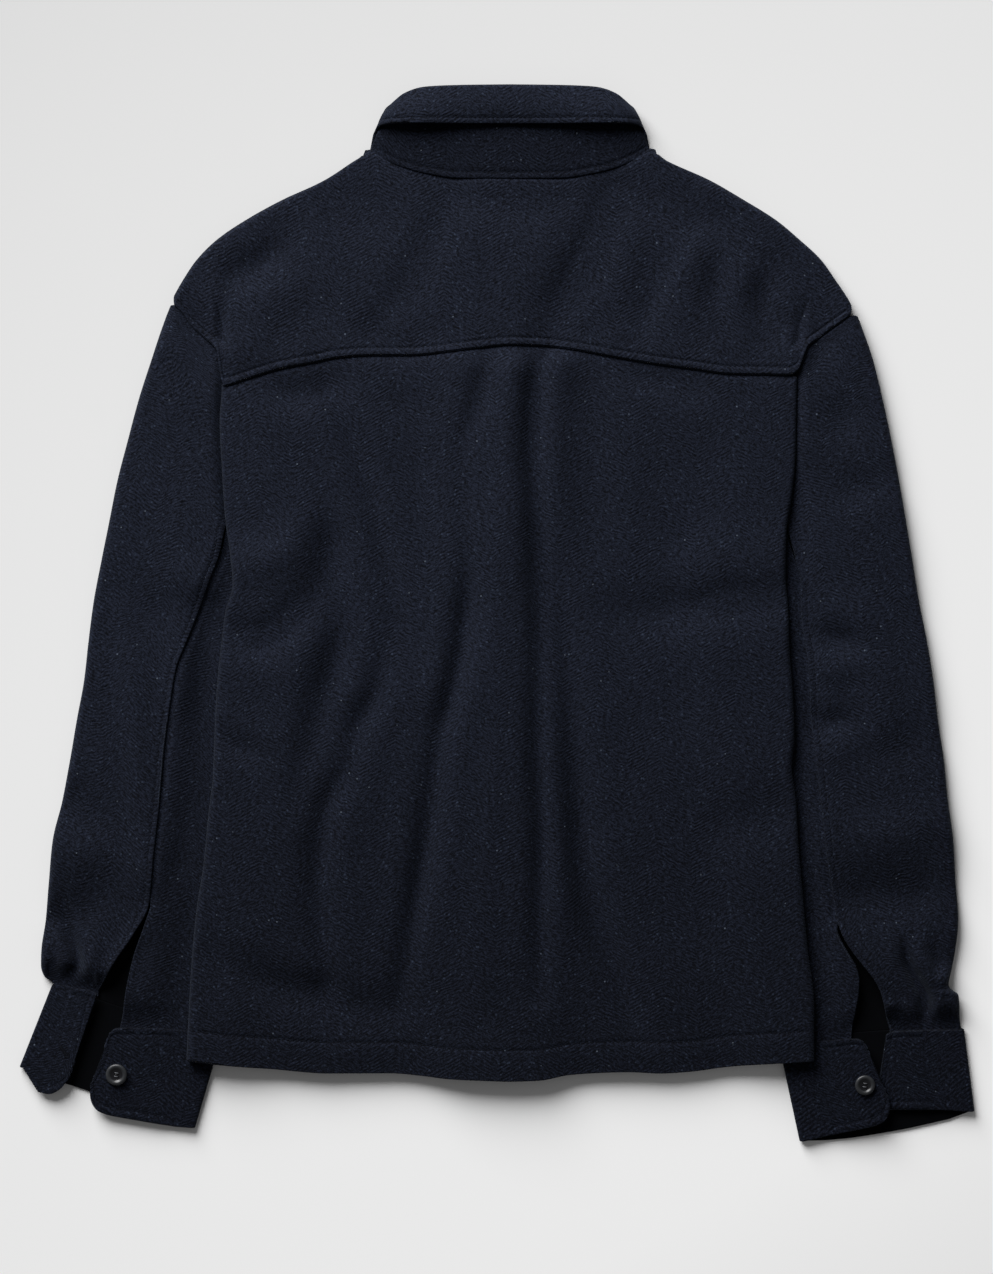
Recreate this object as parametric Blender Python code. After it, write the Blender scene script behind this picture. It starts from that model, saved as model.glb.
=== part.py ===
# Wool shirt-jacket lying on its front with its back facing up.
# Lengths are in millimetres and MM turns them into metres when a mesh is made.
# x runs across, y runs from the hem to the collar, z is up from the surface it lies on.
import bpy
import numpy as np

MM = 0.001

# Cloth
WALL = 1.8
CUFF_WALL = 2.0
LAYER = 2.4
LAP = 2.8
SEAM_GAP = 0.6
HIDDEN_GAP = 1.0
FLOOR_LEVEL = 0.9

# Puts the origin under the middle of the whole garment
CENTRE_SHIFT = (-0.4, 0.4, 0.0)

# Levels of the middle of each layer
PLACKET_LIFT = 2.8
SLEEVE_LEVEL = 3.7
SLEEVE_PUFF = 1.7
TUCK_LEVEL = 6.0
BODY_FOLD_HEIGHT = 3.4
CUFF_TOP_LEVEL = 3.5
CUFF_END_LEVEL = 5.9

# Body
NECK_CENTRE_X = 10.25
NECK_HALF_WIDTH = 108.0
YOKE_WRAP = 35.0
PLACKET_HALF_WIDTH = 17.0
COLLAR_REACH = 138.0
UNDERARM_Y = 22.0
SLEEVE_JOIN_Y = 130.0
FRONT_JOIN_Y = 125.0
FRONT_SEAM_INSET = 25.0

# Buttons
CUFF_BUTTON_RADIUS = 8.15
CUFF_BUTTON_HEIGHT = 2.8
FRONT_BUTTON_RADIUS = 10.0
FRONT_BUTTON_HEIGHT = 2.4
BUTTON_HOLE_RADIUS = 0.9
BUTTON_HOLE_SPACING = 1.9
BUTTON_TWIST = 0.6

# Curves of each side as rows of (y, x)
LEFT = {
    "outer": ((238, -246), (223, -252), (193, -262), (162, -272), (132, -280), (101, -288),
              (71, -294), (41, -300), (10, -306), (-20, -310), (-51, -313.5), (-81, -319),
              (-111, -324), (-142, -330), (-172, -337), (-203, -340), (-233, -343),
              (-258, -346), (-279, -341), (-300, -341)),
    "fold": ((262, -212), (240, -208.5), (172, -208.5), (147, -210), (104, -208), (74, -206),
             (45, -202), (23, -200), (2, -205.5), (-20, -208.5), (-57, -212), (-94, -214),
             (-123, -215), (-152, -218.5), (-189, -222), (-225, -227.5), (-269, -231.5),
             (-345, -235.5)),
    "top_edge": ((236, -246.6), (226, -237), (217, -231), (209, -222), (199.5, -212),
                 (185, -203), (172, -197), (150, -189), (130, -184), (110, -190), (88, -198),
                 (66, -205.5), (45, -210), (26, -217), (9, -223), (-7, -229), (-25, -236),
                 (-41, -242), (-64, -246), (-101, -251), (-145, -255), (-181, -259),
                 (-221, -263), (-244, -275), (-263, -288), (-287, -302)),
    "slit_edge": ((-221, -262.5), (-243, -270), (-260, -276), (-284, -281.5), (-306, -285),
                  (-318, -288)),
    "inner": ((22, -152), (-30, -158), (-100, -168), (-200, -190), (-260, -201),
              (-325, -209.5)),
    "armhole": ((238, -248), (226, -232), (213, -212), (195, -188), (170, -166), (130, -149),
                (90, -141), (50, -143), (22, -152)),
}
RIGHT = {
    "outer": ((229, 273), (223, 275.5), (208, 281), (193, 286), (162, 293.7), (132, 300),
              (101, 306), (71, 311), (41, 316), (10, 321), (-20, 327), (-51, 332),
              (-81, 335.5), (-111, 340), (-142, 343), (-172, 347), (-203, 349), (-233, 351),
              (-258, 348), (-281, 345), (-300, 351), (-318, 354)),
    "fold": ((261, 246), (243, 233.7), (212, 230), (182, 228.4), (147, 227.6), (118, 227),
             (89, 224), (60, 220), (31, 219.3), (2, 221.5), (-28, 222.3), (-57, 224.6),
             (-94, 226), (-116, 224), (-145, 227.6), (-174, 229), (-210, 232), (-254, 236),
             (-298, 241), (-345, 241)),
    "top_edge": ((228, 271), (221, 262), (214, 252), (208, 244), (202, 236), (188, 226),
                 (172, 218), (150, 208), (130, 202), (110, 207), (88, 214), (60, 222),
                 (40, 227), (24, 230.7), (2, 231), (-35, 236), (-57, 237.5), (-79, 238.5),
                 (-108, 242), (-145, 246), (-181, 250), (-210, 255), (-233, 257.5),
                 (-256, 276.5), (-275, 287), (-287, 291.5), (-313, 297)),
    "slit_edge": ((-233, 256.5), (-246, 261.5), (-260, 268), (-278, 275.5), (-297, 273.5),
                  (-325, 273)),
    "inner": ((22, 168), (-30, 173), (-100, 183), (-200, 199), (-260, 207), (-328, 215.5)),
    "armhole": ((229, 275), (218, 258), (205, 236), (188, 210), (165, 187), (130, 165),
                (90, 157), (50, 159), (22, 168)),
}

# Curves across the back as rows of (x, y)
HEM = ((-245, -338), (-202, -343), (-172, -345.4), (-126, -349), (-81, -349), (-58, -350.7),
       (-35, -353), (-12, -353.8), (10, -354.5), (33, -353.8), (56, -350), (101, -348),
       (124, -349), (147, -347.7), (170, -344.7), (193, -342.4), (250, -339))
YOKE_SEAM = ((-230, 169), (-207, 172), (-191, 176.7), (-168, 184), (-143, 189), (-120, 193.4),
             (-95, 195), (-63.5, 195), (-39, 197), (-12, 200), (2.7, 204), (31.5, 202.5),
             (60, 198.7), (90, 194), (119, 189), (148, 185), (177.5, 181), (206, 180.5),
             (225, 177.5), (250, 174))
SHOULDER = ((-250, 231), (-246, 238.5), (-237.5, 253.5), (-227, 269), (-212, 284),
            (-190, 299), (-163, 314), (-130, 329.5), (-105, 345.5), (-97.7, 349.5),
            (-90, 347.6), (-77, 342), (-54, 335), (-27, 330), (10.2, 331), (47.5, 330),
            (74.5, 335), (97.5, 342), (110.5, 347.6), (118.2, 350.5), (129, 344),
            (161, 329.5), (188, 314), (212, 299),
            (230, 284), (246, 269), (257, 253.5), (267, 238.3), (271, 230), (275, 220))
FRONT_NECK = ((17, 275.6), (0, 275.5), (-27, 279), (-58, 291), (-84, 312), (-96.5, 333),
              (-99, 344.5))

# Fold lines of the back as rows of (x, y) with a width and a depth, ridges having a depth below zero
BACK_FOLDS = (
    {"line": ((35, 190), (25, 150), (23, 100), (31, -30), (34, -180), (67, -235), (98, -290)),
     "width": 13, "depth": 2.0},
    {"line": ((-20, 165), (-23, 10), (-41, -80), (-50, -185), (-46, -280)),
     "width": 14, "depth": 2.2},
    {"line": ((-124, 170), (-105, 100), (-87, 35), (-69, -5)), "width": 13, "depth": 1.8},
    {"line": ((-140, 65), (-124, -78), (-93, -176)), "width": 15, "depth": 1.6},
    {"line": ((85, 300), (70, 275), (53, 252)), "width": 14, "depth": 1.5},
    {"line": ((-43, 300), (-58, 270), (-73, 238)), "width": 14, "depth": 1.3},
    {"line": ((80, 150), (84, 20), (92, -150)), "width": 20, "depth": -1.1},
    {"line": ((150, 120), (158, -60), (150, -250)), "width": 18, "depth": 1.3},
)

# Distances of the front's columns from its centre edge
FRONT_COLUMNS = (0, 17, 36, 43, 50, 60, 85, 110, 135, 160, 185, 204, 213, 221, 228, 235)

# Left cuff, rows of (seam x, seam y, edge x, edge y, level) through each run of the band
LEFT_CUFF = {
    "button_run": ((-295.3, -324.1, -308.2, -358.3, 3.6), (-292.2, -317.3, -308.2, -368.2, 3.6),
                   (-289.2, -315, -304.4, -376.6, 3.6), (-284.6, -314.6, -297.5, -380.4, 3.6),
                   (-263.3, -315, -271, -385.7, 3.6), (-232.9, -317.3, -244.3, -390.3, 3.5)),
    "inner_turn": (-209.5, -319.6, -230.5, -391.2),
    "under_run": ((-232, -312, -252, -387.5, 1.0), (-263.3, -305.9, -271, -379, 1.0),
                  (-309, -291.5, -312.7, -362.9, 1.0), (-328.7, -284.6, -339.3, -354.5, 1.0)),
    "outer_turn": (-340.5, -281.6, -361.8, -345.4),
    "loop_run": ((-327.2, -283, -348.5, -363.7, 3.6), (-318, -284.6, -340.1, -365.2, 3.6),
                 (-310.5, -285.8, -332.5, -362.1, 3.6), (-305.9, -286.9, -326.4, -355.3, 3.6),
                 (-302.9, -289.2, -322.6, -347, 3.6)),
    "outward": -1,
}
RIGHT_CUFF = {
    "button_run": ((280.8, -328.7, 297.5, -367.5, 5.9), (277, -324.1, 298.3, -375.8, 5.9),
                   (273.2, -322.6, 295.3, -384.2, 5.9), (267.1, -322.6, 287.7, -388.7, 5.9),
                   (255, -324.1, 272.5, -392.5, 4.9), (239.8, -324.9, 251.9, -397.1, 3.8)),
    "inner_turn": (215.5, -325.7, 231.8, -401.5),
    "under_run": ((240, -323.5, 252, -401, 1.0), (253.5, -321.1, 268.7, -399.4, 1.0),
                  (291.5, -317.3, 306.7, -393.3, 1.0), (337, -315.8, 344.7, -384.9, 1.0)),
    "outer_turn": (354.5, -315.8, 362.5, -378.9),
    "loop_run": ((329.5, -316.2, 337, -377.3, 3.6), (310.5, -316.5, 315.8, -377.3, 3.6),
                 (301.3, -317.3, 303.6, -376.6, 3.6), (296, -319.6, 294.5, -372.8, 3.6)),
    "outward": 1,
}

# Collar from the centre back round to the centre front, left half: neck seam, stand top, leaf fold, leaf edge
COLLAR_ROWS = (
    {"neck": (10.2, 331.7, 8.6), "top": (10.2, 366, 8.2), "fold": (10.2, 401, 8.4),
     "edge": (10.2, 371.3, 12.2), "out": 0},
    {"neck": (-27, 330.8, 7.6), "top": (-25, 366, 7.6), "fold": (-27, 400.6, 8.0),
     "edge": (-28, 371, 11.6), "out": 0},
    {"neck": (-54, 335.8, 6.6), "top": (-50, 367, 7.0), "fold": (-54, 399.4, 7.4),
     "edge": (-58, 370.8, 10.8), "out": 0},
    {"neck": (-77, 343, 6.2), "top": (-72, 368, 6.4), "fold": (-69, 394.5, 6.6),
     "edge": (-77, 370.6, 9.8), "out": 8},
    {"neck": (-90, 348.4, 6.0), "top": (-83, 369, 6.1), "fold": (-77, 386, 6.2),
     "edge": (-88, 369.5, 8.6), "out": 35},
    {"neck": (-95.4, 350.6, 4.9), "top": (-88.4, 369.4, 4.9), "fold": (-80, 382, 4.9),
     "edge": (-95, 366, 4.6), "out": 90},
    {"neck": (-92.5, 346, 3.9), "top": (-83, 366, 3.8), "fold": (-77, 376, 3.8),
     "edge": (-106, 350, 1.0), "out": 145},
    {"neck": (-92.5, 335, 3.7), "top": (-72, 352, 3.7), "fold": (-65, 359, 3.7),
     "edge": (-121, 320, 0.9), "out": 180},
    {"neck": (-80.8, 314.3, 3.7), "top": (-58, 334, 3.7), "fold": (-52, 340, 3.7),
     "edge": (-104, 290, 0.9), "out": 180},
    {"neck": (-56.5, 293, 3.7), "top": (-38, 320, 3.7), "fold": (-33, 326, 3.7),
     "edge": (-75, 266, 0.9), "out": 180},
    {"neck": (-26.5, 281, 3.7), "top": (-16, 313, 3.7), "fold": (-13, 319, 3.7),
     "edge": (-54, 242, 0.9), "out": 180},
    {"neck": (6, 277.6, 3.7), "top": (7, 310, 3.7), "fold": (7, 316, 3.7),
     "edge": (-42, 228, 0.9), "out": 180},
)

MATERIALS = {"cloth": (0.012, 0.014, 0.022), "button": (0.010, 0.010, 0.012)}


def smoothstep(value):
    held = np.clip(value, 0.0, 1.0)
    return held * held * (3.0 - 2.0 * held)


def curve(rows, at):
    """Smooth curve through rows of (position, value), without overshoot."""
    ordered = sorted(rows)
    xs = np.array([row[0] for row in ordered], float)
    ys = np.array([row[1] for row in ordered], float)
    steps = np.diff(xs)
    slopes = np.diff(ys) / steps
    tangents = np.empty(len(xs))
    tangents[0] = slopes[0]
    tangents[-1] = slopes[-1]
    same = slopes[:-1] * slopes[1:] > 0
    total = np.where(same, slopes[:-1] + slopes[1:], 1.0)
    tangents[1:-1] = np.where(same, 2.0 * slopes[:-1] * slopes[1:] / total, 0.0)
    at = np.clip(np.asarray(at, float), xs[0], xs[-1])
    cell = np.clip(np.searchsorted(xs, at, side="right") - 1, 0, len(xs) - 2)
    part = (at - xs[cell]) / steps[cell]
    square = part * part
    cube = square * part
    return ((2 * cube - 3 * square + 1) * ys[cell]
            + (cube - 2 * square + part) * steps[cell] * tangents[cell]
            + (3 * square - 2 * cube) * ys[cell + 1]
            + (cube - square) * steps[cell] * tangents[cell + 1])


def through(rows, at):
    """Smooth curve through points, with positions 0 to 1 spread evenly over the rows."""
    rows = np.asarray(rows, float)
    places = np.linspace(0.0, 1.0, len(rows))
    return np.stack([curve(list(zip(places, rows[:, column])), at)
                     for column in range(rows.shape[1])], axis=-1)


def centre_front(y):
    return curve(((-355, 2.5), (350, 10.0)), y)


def near_placket(x, y, inside, outside):
    return 1.0 - smoothstep((np.abs(x - centre_front(y)) - inside) / (outside - inside))


def near_neck(x, y):
    distance = np.hypot(x - NECK_CENTRE_X, y - 340.0)
    return 1.0 - smoothstep((distance - COLLAR_REACH) / 20.0)


def tuck_end(side, y):
    """Where the cloth turned under at the body's side ends: the side seam, and above it the armhole."""
    y = np.asarray(y, float)
    sign = 1.0 if side is LEFT else -1.0
    start = curve(side["inner"], UNDERARM_Y)
    width = start - curve(side["top_edge"], UNDERARM_Y)
    share = 1.0 - (y - UNDERARM_Y) / (SLEEVE_JOIN_Y - UNDERARM_Y)
    armhole = curve(side["top_edge"], y) + width * np.clip(share, 0.0, 1.0)
    below = curve(side["inner"], y) + sign * 2.2
    return np.where(y < UNDERARM_Y, below, armhole)


def side_lift(side, x, y, fall):
    """One over the sleeve, and down to nothing further in."""
    sign = 1.0 if side is LEFT else -1.0
    inward = sign * (x - tuck_end(side, y))
    over = 1.0 - smoothstep((inward - 1.0) / fall)
    return over * (1.0 - smoothstep((y - 195.0) / 60.0))


def fold_depth(x, y):
    total = 0.0
    for fold in BACK_FOLDS:
        rows = sorted((py, px) for px, py in fold["line"])
        low = rows[0][0]
        high = rows[-1][0]
        centre = curve(rows, y)
        along = smoothstep((y - low + 30.0) / 60.0) * smoothstep((high + 30.0 - y) / 60.0)
        total = total + fold["depth"] * along * np.exp(-((x - centre) / fold["width"]) ** 2)
    return total


def front_level(x, y):
    """Middle of the fronts, with the buttons under the centre and the sleeves under the sides."""
    neck = near_neck(x, y)
    placket = near_placket(x, y, 19.0, 33.0)
    level = FLOOR_LEVEL + PLACKET_LIFT * (1.0 - (1.0 - neck) * (1.0 - placket))
    rise = TUCK_LEVEL - FLOOR_LEVEL
    above = 1.0 - smoothstep((y - UNDERARM_Y) / 40.0)
    for side in (LEFT, RIGHT):
        level = level + rise * side_lift(side, x, y, 20.0) * above
    return level


def right_front_level(x, y):
    beyond = (x - centre_front(y) - PLACKET_HALF_WIDTH - 6.0) / 14.0
    return front_level(x, y) + LAP * (1.0 - smoothstep(beyond))


def back_level(x, y):
    """Middle of the back: it rests on the fronts, the placket and the tucked sides, with its main folds."""
    neck = near_neck(x, y)
    placket = near_placket(x, y, 22.0, 42.0)
    level = FLOOR_LEVEL + LAYER + PLACKET_LIFT * (1.0 - (1.0 - neck) * (1.0 - placket))
    level = level + LAP * placket
    lifts = 0.0
    for side in (LEFT, RIGHT):
        lifts = lifts + side_lift(side, x, y, 24.0)
    level = level + (TUCK_LEVEL + BODY_FOLD_HEIGHT - FLOOR_LEVEL - LAYER) * lifts
    puff = np.clip(2.1 - fold_depth(x, y), 0.0, 3.2)
    return level + puff * (1.0 - lifts) * (1.0 - 0.9 * neck)


def sleeve_level(side, x, y):
    sign = 1.0 if side is LEFT else -1.0
    outward = sign * (curve(side["fold"], y) - x)
    shown = smoothstep((outward - 3.0) / 18.0)
    shown = np.maximum(shown, smoothstep((y - 205.0) / 40.0))
    near_cuff = smoothstep((y + 318.0) / 40.0)
    return SLEEVE_LEVEL + SLEEVE_PUFF * shown * near_cuff


def yoke_level(x, y):
    """The yoke, stepping down to the sleeves outside the crease that runs on from each side fold."""
    level = back_level(x, y)
    for side in (LEFT, RIGHT):
        sign = 1.0 if side is LEFT else -1.0
        inward = sign * (x - curve(side["fold"], y))
        share = smoothstep((inward + 5.0) / 14.0)
        share = np.maximum(share, 1.0 - smoothstep((y - 198.0) / 14.0))
        level = share * level + (1.0 - share) * sleeve_level(side, x, y)
    return level


def wall_mesh(grid, wall):
    """Closed sheet of the wall thickness about a grid of middle points, in millimetres."""
    along = np.gradient(grid, axis=0)
    across = np.gradient(grid, axis=1)
    normal = np.cross(along, across)
    normal = normal / np.linalg.norm(normal, axis=2, keepdims=True)
    rows, columns = grid.shape[:2]
    outer = (grid + normal * wall / 2).reshape(-1, 3)
    inner = (grid - normal * wall / 2).reshape(-1, 3)
    points = np.concatenate([outer, inner])
    index = np.arange(rows * columns).reshape(rows, columns)
    other = index + rows * columns
    faces = []
    for r in range(rows - 1):
        for c in range(columns - 1):
            faces.append((index[r, c], index[r + 1, c], index[r + 1, c + 1], index[r, c + 1]))
            faces.append((other[r, c], other[r, c + 1], other[r + 1, c + 1], other[r + 1, c]))
    for r in range(rows - 1):
        faces.append((index[r, 0], other[r, 0], other[r + 1, 0], index[r + 1, 0]))
        faces.append((index[r, -1], index[r + 1, -1], other[r + 1, -1], other[r, -1]))
    for c in range(columns - 1):
        faces.append((index[0, c], index[0, c + 1], other[0, c + 1], other[0, c]))
        faces.append((index[-1, c], other[-1, c], other[-1, c + 1], index[-1, c + 1]))
    return points, faces


def material(name):
    found = bpy.data.materials.get(name)
    if found:
        return found
    made = bpy.data.materials.new(name)
    made.use_nodes = True
    shader = made.node_tree.nodes["Principled BSDF"]
    shader.inputs["Base Color"].default_value = MATERIALS[name.split(".")[0]] + (1.0,)
    shader.inputs["Roughness"].default_value = 0.9 if name.startswith("cloth") else 0.35
    return made


def add_object(name, points, faces, kind):
    mesh = bpy.data.meshes.new(name)
    moved = (points + np.array(CENTRE_SHIFT)) * MM
    mesh.from_pydata([tuple(p) for p in moved], [], [tuple(int(i) for i in f) for f in faces])
    if signed_volume(points, faces) < 0:
        mesh.flip_normals()
    mesh.materials.append(material(kind + "." + name))
    for polygon in mesh.polygons:
        polygon.use_smooth = True
    made = bpy.data.objects.new(name, mesh)
    bpy.context.scene.collection.objects.link(made)
    return made


def signed_volume(points, faces):
    total = 0.0
    for face in faces:
        first = points[face[0]]
        for a, b in zip(face[1:-1], face[2:]):
            total += np.dot(first, np.cross(points[a], points[b]))
    return total


def add_sheet(name, grid, wall=WALL):
    points, faces = wall_mesh(grid, wall)
    return add_object(name, points, faces, "cloth")


def half_turn(centre_x, y, upper, lower, sign, count):
    """Points of a half circle in the x-z plane from the upper level to the lower one."""
    radius = (upper - lower) / 2.0
    angles = np.linspace(0.0, np.pi, count)[1:-1]
    return [(centre_x + sign * radius * np.sin(a), y, (upper + lower) / 2.0 + radius * np.cos(a))
            for a in angles]


def back_panel():
    """Rows from the hem to the yoke seam, each from the left tuck over the top to the right tuck."""
    rows = []
    for share in np.linspace(0.0, 1.0, 19):
        nominal = -350.0 + share * 540.0
        section = []
        parts = []
        for side in (LEFT, RIGHT):
            sign = 1.0 if side is LEFT else -1.0
            low = curve(HEM, curve(side["fold"], nominal))
            high = curve(YOKE_SEAM, curve(side["fold"], nominal)) - SEAM_GAP / 2
            y = low + share * (high - low)
            edge = float(curve(side["fold"], y))
            end = float(tuck_end(side, y))
            upper = float(back_level(edge + sign * 2.0, y))
            radius = (upper - TUCK_LEVEL) / 2.0
            centre = edge + sign * (radius + WALL / 2)
            under = [(x, y, TUCK_LEVEL) for x in np.linspace(end, centre, 4)]
            turn = half_turn(centre, y, upper, TUCK_LEVEL, -sign, 7)[::-1]
            parts.append((under + turn, centre))
        left, right = parts
        section += left[0]
        for part in np.linspace(0.0, 1.0, 27):
            x = left[1] + part * (right[1] - left[1])
            low = curve(HEM, x)
            high = curve(YOKE_SEAM, x) - SEAM_GAP / 2
            y = float(low + share * (high - low))
            section.append((x, y, float(back_level(x, y))))
        section += right[0][::-1]
        rows.append(section)
    return np.array(rows)


def yoke_lower_edge(x):
    """The yoke seam, and outside the side folds the armhole seam."""
    left = [(px, py) for py, px in LEFT["top_edge"] if py > 195]
    right = [(px, py) for py, px in RIGHT["top_edge"] if py > 200]
    rows = left + [(-208.7, 182.0)] + [row for row in YOKE_SEAM if -208 < row[0] < 226]
    return curve(rows + [(231.5, 188.0)] + right, x)


def yoke_bend(x):
    past_neck = abs(x - NECK_CENTRE_X) - NECK_HALF_WIDTH
    return max(float(smoothstep((past_neck + 1.0) / 9.0)), 0.12)


def yoke_front_edge(x):
    """Where the yoke ends on the underside."""
    past_neck = abs(x - NECK_CENTRE_X) - NECK_HALF_WIDTH
    depth = 5.0 + YOKE_WRAP * float(smoothstep((past_neck - 9.0) / 16.0))
    side = LEFT if x < 0 else RIGHT
    rows = [(px, py) for py, px in side["armhole"] if py > 128]
    return max(float(curve(SHOULDER, x)) - depth, float(curve(rows, x)) + HIDDEN_GAP)


def back_yoke():
    """Columns from tip to tip, each from the lower edge over the shoulder line to the front yoke seam."""
    columns = []
    stations = np.concatenate([np.linspace(-243.5, -214, 5), np.linspace(-209, -119, 7),
                               np.linspace(-110, -94, 7), np.linspace(-78, 98, 11),
                               np.linspace(114.5, 130.5, 7), np.linspace(139.5, 229, 7),
                               np.linspace(235, 267.5, 5)])
    for x in stations:
        low = float(yoke_lower_edge(x)) + SEAM_GAP
        bend = yoke_bend(x)
        high = float(curve(SHOULDER, x)) - 0.3 - 0.6 * bend
        under = FLOOR_LEVEL + PLACKET_LIFT * float(near_neck(x, high))
        upper = float(yoke_level(x, high))
        radius = (upper - under) / 2.0
        column = []
        for part in np.linspace(0.0, 1.0, 7):
            y = low + part * (high - radius - low)
            column.append((x, y, float(yoke_level(x, y))))
        column[-1] = (x, high - radius, upper)
        for angle in np.linspace(0.0, np.pi * bend, 6)[1:]:
            column.append((x, high - radius + radius * np.sin(angle),
                           upper - radius + radius * np.cos(angle)))
        end = column[-1]
        turn = np.pi * bend
        reach = min(yoke_front_edge(x), high - radius - 1.0) - end[1]
        for part in (0.5, 1.0):
            if bend > 0.99:
                y = end[1] + reach * part
                z = FLOOR_LEVEL + PLACKET_LIFT * float(near_neck(x, y))
            else:
                y = end[1] + np.cos(turn) * part
                z = end[2] - np.sin(turn) * part
            column.append((x, y, z))
        columns.append(column)
    return np.array(columns)


def by_length(points, at):
    """Points along a polyline at shares of its length."""
    points = np.asarray(points, float)
    steps = np.hypot(*np.diff(points, axis=0).T)
    places = np.concatenate([[0.0], np.cumsum(steps)]) / steps.sum()
    return np.stack([np.interp(at, places, points[:, k]) for k in (0, 1)], axis=-1)


def front_outline(side):
    """The four edges of a front as fine polylines: hem, side, yoke seam and centre."""
    sign = 1.0 if side is LEFT else -1.0
    y = np.linspace(-340.0, UNDERARM_Y - 0.5, 40)
    lower = np.stack([tuck_end(side, y) + sign * HIDDEN_GAP, y], axis=-1)
    top = 225.0 if side is LEFT else 216.0
    y = np.linspace(UNDERARM_Y + 1.0, top, 40)
    upper = np.stack([curve(side["armhole"], y) + sign * HIDDEN_GAP / 2, y], axis=-1)
    outer = np.concatenate([lower, upper])
    neck = [(x if side is LEFT else 2 * NECK_CENTRE_X - x, y) for x, y in FRONT_NECK]
    edge_x = centre_front(-350.0) + sign * PLACKET_HALF_WIDTH
    neck_x = centre_front(275.0) + sign * PLACKET_HALF_WIDTH
    fine = through(neck, np.linspace(0.0, 1.0, 30))
    fine[0] = (neck_x, 275.8)
    inner = np.concatenate([[(edge_x, float(curve(HEM, edge_x)))], fine])
    x = np.linspace(outer[-1][0], inner[-1][0], 40)
    y = np.array([yoke_front_edge(v) - HIDDEN_GAP * 2.4 for v in x])
    y = np.minimum(y, float(inner[-1][1]))
    yoke = np.stack([x, y], axis=-1)
    yoke[0] = outer[-1]
    yoke[-1] = inner[-1]
    x = np.linspace(outer[0][0], edge_x, 40)
    hem = np.stack([x, curve(HEM, x)], axis=-1)
    outer[0] = hem[0]
    return hem, outer, yoke, inner


def front_panel(side):
    """A sheet filled between the four edges."""
    hem, outer, yoke, inner = front_outline(side)
    across = 1.0 - np.array(FRONT_COLUMNS)[::-1] / FRONT_COLUMNS[-1]
    up = np.concatenate([np.linspace(0.0, 0.72, 10), np.linspace(0.76, 1.0, 9)])
    bottom = by_length(hem, across)
    top = by_length(yoke, across)
    left = by_length(outer, up)
    right = by_length(inner, up)
    level = front_level if side is LEFT else right_front_level
    rows = []
    for v, share in enumerate(up):
        row = []
        for u, part in enumerate(across):
            plan = ((1 - share) * bottom[u] + share * top[u] + (1 - part) * left[v] + part * right[v]
                    - (1 - share) * (1 - part) * bottom[0] - (1 - share) * part * bottom[-1]
                    - share * (1 - part) * top[0] - share * part * top[-1])
            row.append((plan[0], plan[1], float(level(plan[0], plan[1]))))
        rows.append(row)
    return np.array(rows)


def front_seam(side, y):
    """The sleeve's hidden seam on the underside."""
    sign = 1.0 if side is LEFT else -1.0
    below = curve(side["inner"], y) - sign * FRONT_SEAM_INSET
    share = 1.0 - (y - UNDERARM_Y) / (FRONT_JOIN_Y - UNDERARM_Y)
    above = curve(side["armhole"], y) - sign * FRONT_SEAM_INSET * max(share, 0.0)
    return float(below if y < UNDERARM_Y else above)


def cuff_line(rows, x):
    points = [(row[0], row[1]) for row in rows]
    return float(curve(points, x))


def sleeve_top(side, cuff):
    """Rows from the cuff to the shoulder point, each from the back seam round the outer edge."""
    sign = 1.0 if side is LEFT else -1.0
    top = 231.0 if side is LEFT else 221.0
    shares = np.concatenate([np.linspace(0.0, 0.84, 17), np.linspace(0.87, 1.0, 7)])
    loop = [cuff["outer_turn"][:2]] + [row[:2] for row in cuff["loop_run"]]
    under = [cuff["outer_turn"][:2]] + [row[:2] for row in cuff["under_run"]] + [cuff["inner_turn"][:2]]
    rows = []
    for share in shares:
        row = []
        for part in np.linspace(0.0, 1.0, 6):
            y = -285.0 + share * (top + 285.0)
            for attempt in range(3):
                edge = float(curve(side["top_edge"], y)) - sign * SEAM_GAP * 0.7
                outer = float(curve(side["outer"], y))
                level = float(sleeve_level(side, outer + sign * 12.0, y))
                radius = (level - FLOOR_LEVEL) / 2.0
                centre = outer + sign * (radius + WALL / 2)
                x = edge + part * (centre - edge)
                end = cuff_line(loop, x) + HIDDEN_GAP
                y = end + share * (top - end)
            row.append((x, y, float(sleeve_level(side, x, y)) if part < 1 else level))
        row += half_turn(centre, y, level, FLOOR_LEVEL, -sign, 6)
        for part in np.linspace(0.0, 1.0, 5):
            for attempt in range(3):
                outer = float(curve(side["outer"], y))
                centre = outer + sign * (radius + WALL / 2)
                if y > FRONT_JOIN_Y:
                    seam = float(curve(side["armhole"], y)) - sign * HIDDEN_GAP
                else:
                    seam = front_seam(side, y) - sign * HIDDEN_GAP
                x = centre + part * (seam - centre)
                end = cuff_line(under, x) + HIDDEN_GAP
                y = end + share * (top - end)
            row.append((x, y, FLOOR_LEVEL))
        rows.append(row)
    return np.array(rows)


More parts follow.
